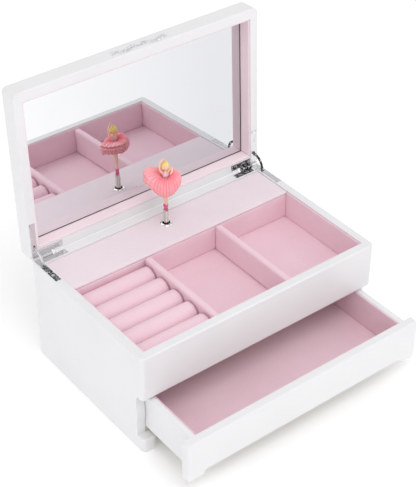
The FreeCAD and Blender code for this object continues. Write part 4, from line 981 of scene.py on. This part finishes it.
def tutu():
    """Gathered rings of stiff net: fine pleats from the waist that open into a few large soft puffs."""
    layers = [
        # waist height, rim height, rim radius
        (153.6, 156.6, 15.2),
        (153.0, 153.8, 16.2),
        (152.4, 151.0, 16.2),
        (151.8, 148.2, 14.4),
    ]
    puffs, size, phase = 8, 1.1, 0.4
    waist_radius, allowance = 2.5, 1.15
    longer = math.radians(141.5) - FACING
    front = longer + math.pi / 2
    around, out = 600, 30
    for n, (waist, rim, radius) in enumerate(layers):
        points, faces = [], []
        for i in range(out + 1):
            u = i / out
            for j in range(around):
                turn = 2 * math.pi * j / around
                wander = noise.noise(Vector((math.cos(turn) * 1.2, math.sin(turn) * 1.2, 5.0)))
                left = max(0.0, math.cos(turn - longer))
                hang = max(0.0, math.cos(turn - front)) ** 2
                lobe = 0.87 + (0.42 * left ** 3 - 0.06 * hang + 0.06 * wander) * u
                wave_turn = puffs * turn + phase + 1.6 * wander * u
                puff = 1 - abs(math.sin(wave_turn / 2)) ** 1.6
                r = waist_radius + (radius * lobe - waist_radius) * u * (1 + 0.07 * (puff - 0.5) * u)
                lift = size * (puff - 0.4) * u ** 1.3
                pleat = 0.7 * math.sin(PLEATS * (turn + FACING)) * min(1, u * 3) * (1 - 0.45 * u)
                curl = 1.7 * max(0.0, (u - 0.82) / 0.18) ** 2
                sag = (7.0 * hang - 3.4 * left ** 2) * u ** 1.6
                arch = 2.0 * math.sin(math.pi * u ** 0.8)
                z = waist + (rim - waist) * u ** 1.3 + lift + pleat + arch - curl - sag
                points.append(at_dancer(r * math.cos(turn), r * math.sin(turn), z))
        for i in range(out):
            for j in range(around):
                a, b = i * around + j, i * around + (j + 1) % around
                faces.append([a, b, b + around, a + around])
        obj = mesh_piece(f"dancer_tutu_layer_{n + 1}", points, faces, NET, "dancer")
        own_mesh(obj)
        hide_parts("dancer_tutu")


coil_spring()
dancer_figure()
tutu()


# ---------------------------------------------------------------- floor, light and camera
def stage():
    """Plain pale floor that glows a little, so that it stays white."""
    size = 3.0
    mesh = bpy.data.meshes.new("floor")
    corners = [(-size, -size, 0), (size, -size, 0), (size, size, 0), (-size, size, 0)]
    mesh.from_pydata(corners, [], [(0, 1, 2, 3)])
    floor = bpy.data.objects.new("floor", mesh)
    floor.location.z = -0.0002
    bpy.context.scene.collection.objects.link(floor)
    material, tree, shader, place = new_material("pale_floor")
    tints = [(0.2, (0.975, 0.975, 0.98)), (0.8, (0.985, 0.985, 0.985))]
    tree.links.new(ramp(tree, noise_node(tree, place, 3, 2), tints), shader.inputs["Base Color"])
    shader.inputs["Roughness"].default_value = 0.9
    shader.inputs["Specular IOR Level"].default_value = 0.1
    shader.inputs["Emission Color"].default_value = (1.0, 1.0, 1.0, 1.0)
    shader.inputs["Emission Strength"].default_value = 0.11
    dress(floor, material)


def area_light(name, place, target, size, power):
    """A round lamp turned towards a point."""
    data = bpy.data.lights.new(name, "AREA")
    data.shape = "DISK"
    data.size = size
    data.energy = power
    lamp = bpy.data.objects.new(name, data)
    lamp.location = place
    lamp.rotation_mode = "QUATERNION"
    lamp.rotation_quaternion = (Vector(target) - Vector(place)).to_track_quat("-Z", "Y")
    bpy.context.scene.collection.objects.link(lamp)


stage()
centre = (0.0, 0.0, 0.1)
area_light("key", (-0.3, -0.9, 1.9), centre, 1.4, 10)
area_light("fill_right", (1.6, -0.9, 1.2), centre, 1.2, 3)
area_light("fill_left", (-1.7, 0.1, 1.0), centre, 1.2, 2)

world = bpy.data.worlds.new("studio")
bpy.context.scene.world = world
world.use_nodes = True
sky = world.node_tree
direction = sky.nodes.new("ShaderNodeTexCoord")
axes = sky.nodes.new("ShaderNodeSeparateXYZ")
sky.links.new(direction.outputs["Generated"], axes.inputs[0])
depth = sky.nodes.new("ShaderNodeMapRange")
depth.inputs["From Min"].default_value = -1.0
depth.inputs["From Max"].default_value = 1.0
sky.links.new(axes.outputs["Y"], depth.inputs["Value"])
sky.links.new(ramp(sky, depth.outputs["Result"], [(0.0, (0.94, 0.94, 0.94)), (1.0, (0.77, 0.77, 0.775))]),
              sky.nodes["Background"].inputs["Color"])
sky.nodes["Background"].inputs["Strength"].default_value = 0.92
bpy.context.scene.view_settings.view_transform = "Standard"

camera_data = bpy.data.cameras.new("camera")
camera = bpy.data.objects.new("camera", camera_data)
bpy.context.scene.collection.objects.link(camera)
camera_data.sensor_fit = "HORIZONTAL"
camera_data.sensor_width = 36.0
camera_data.lens = 115.63
camera_data.clip_start = 0.05
yaw, pitch, roll = 0.6636, -0.6474, 0.0066
eye = (-0.57416, -0.72132, 0.82187)
forward = Vector((math.sin(yaw) * math.cos(pitch), math.cos(yaw) * math.cos(pitch), math.sin(pitch)))
right = Vector((math.cos(yaw), -math.sin(yaw), 0))
up = right.cross(forward)
right, up = right * math.cos(roll) + up * math.sin(roll), up * math.cos(roll) - right * math.sin(roll)
camera.matrix_world = Matrix((
    (right.x, up.x, -forward.x, eye[0]),
    (right.y, up.y, -forward.y, eye[1]),
    (right.z, up.z, -forward.z, eye[2]),
    (0, 0, 0, 1),
))
bpy.context.scene.camera = camera
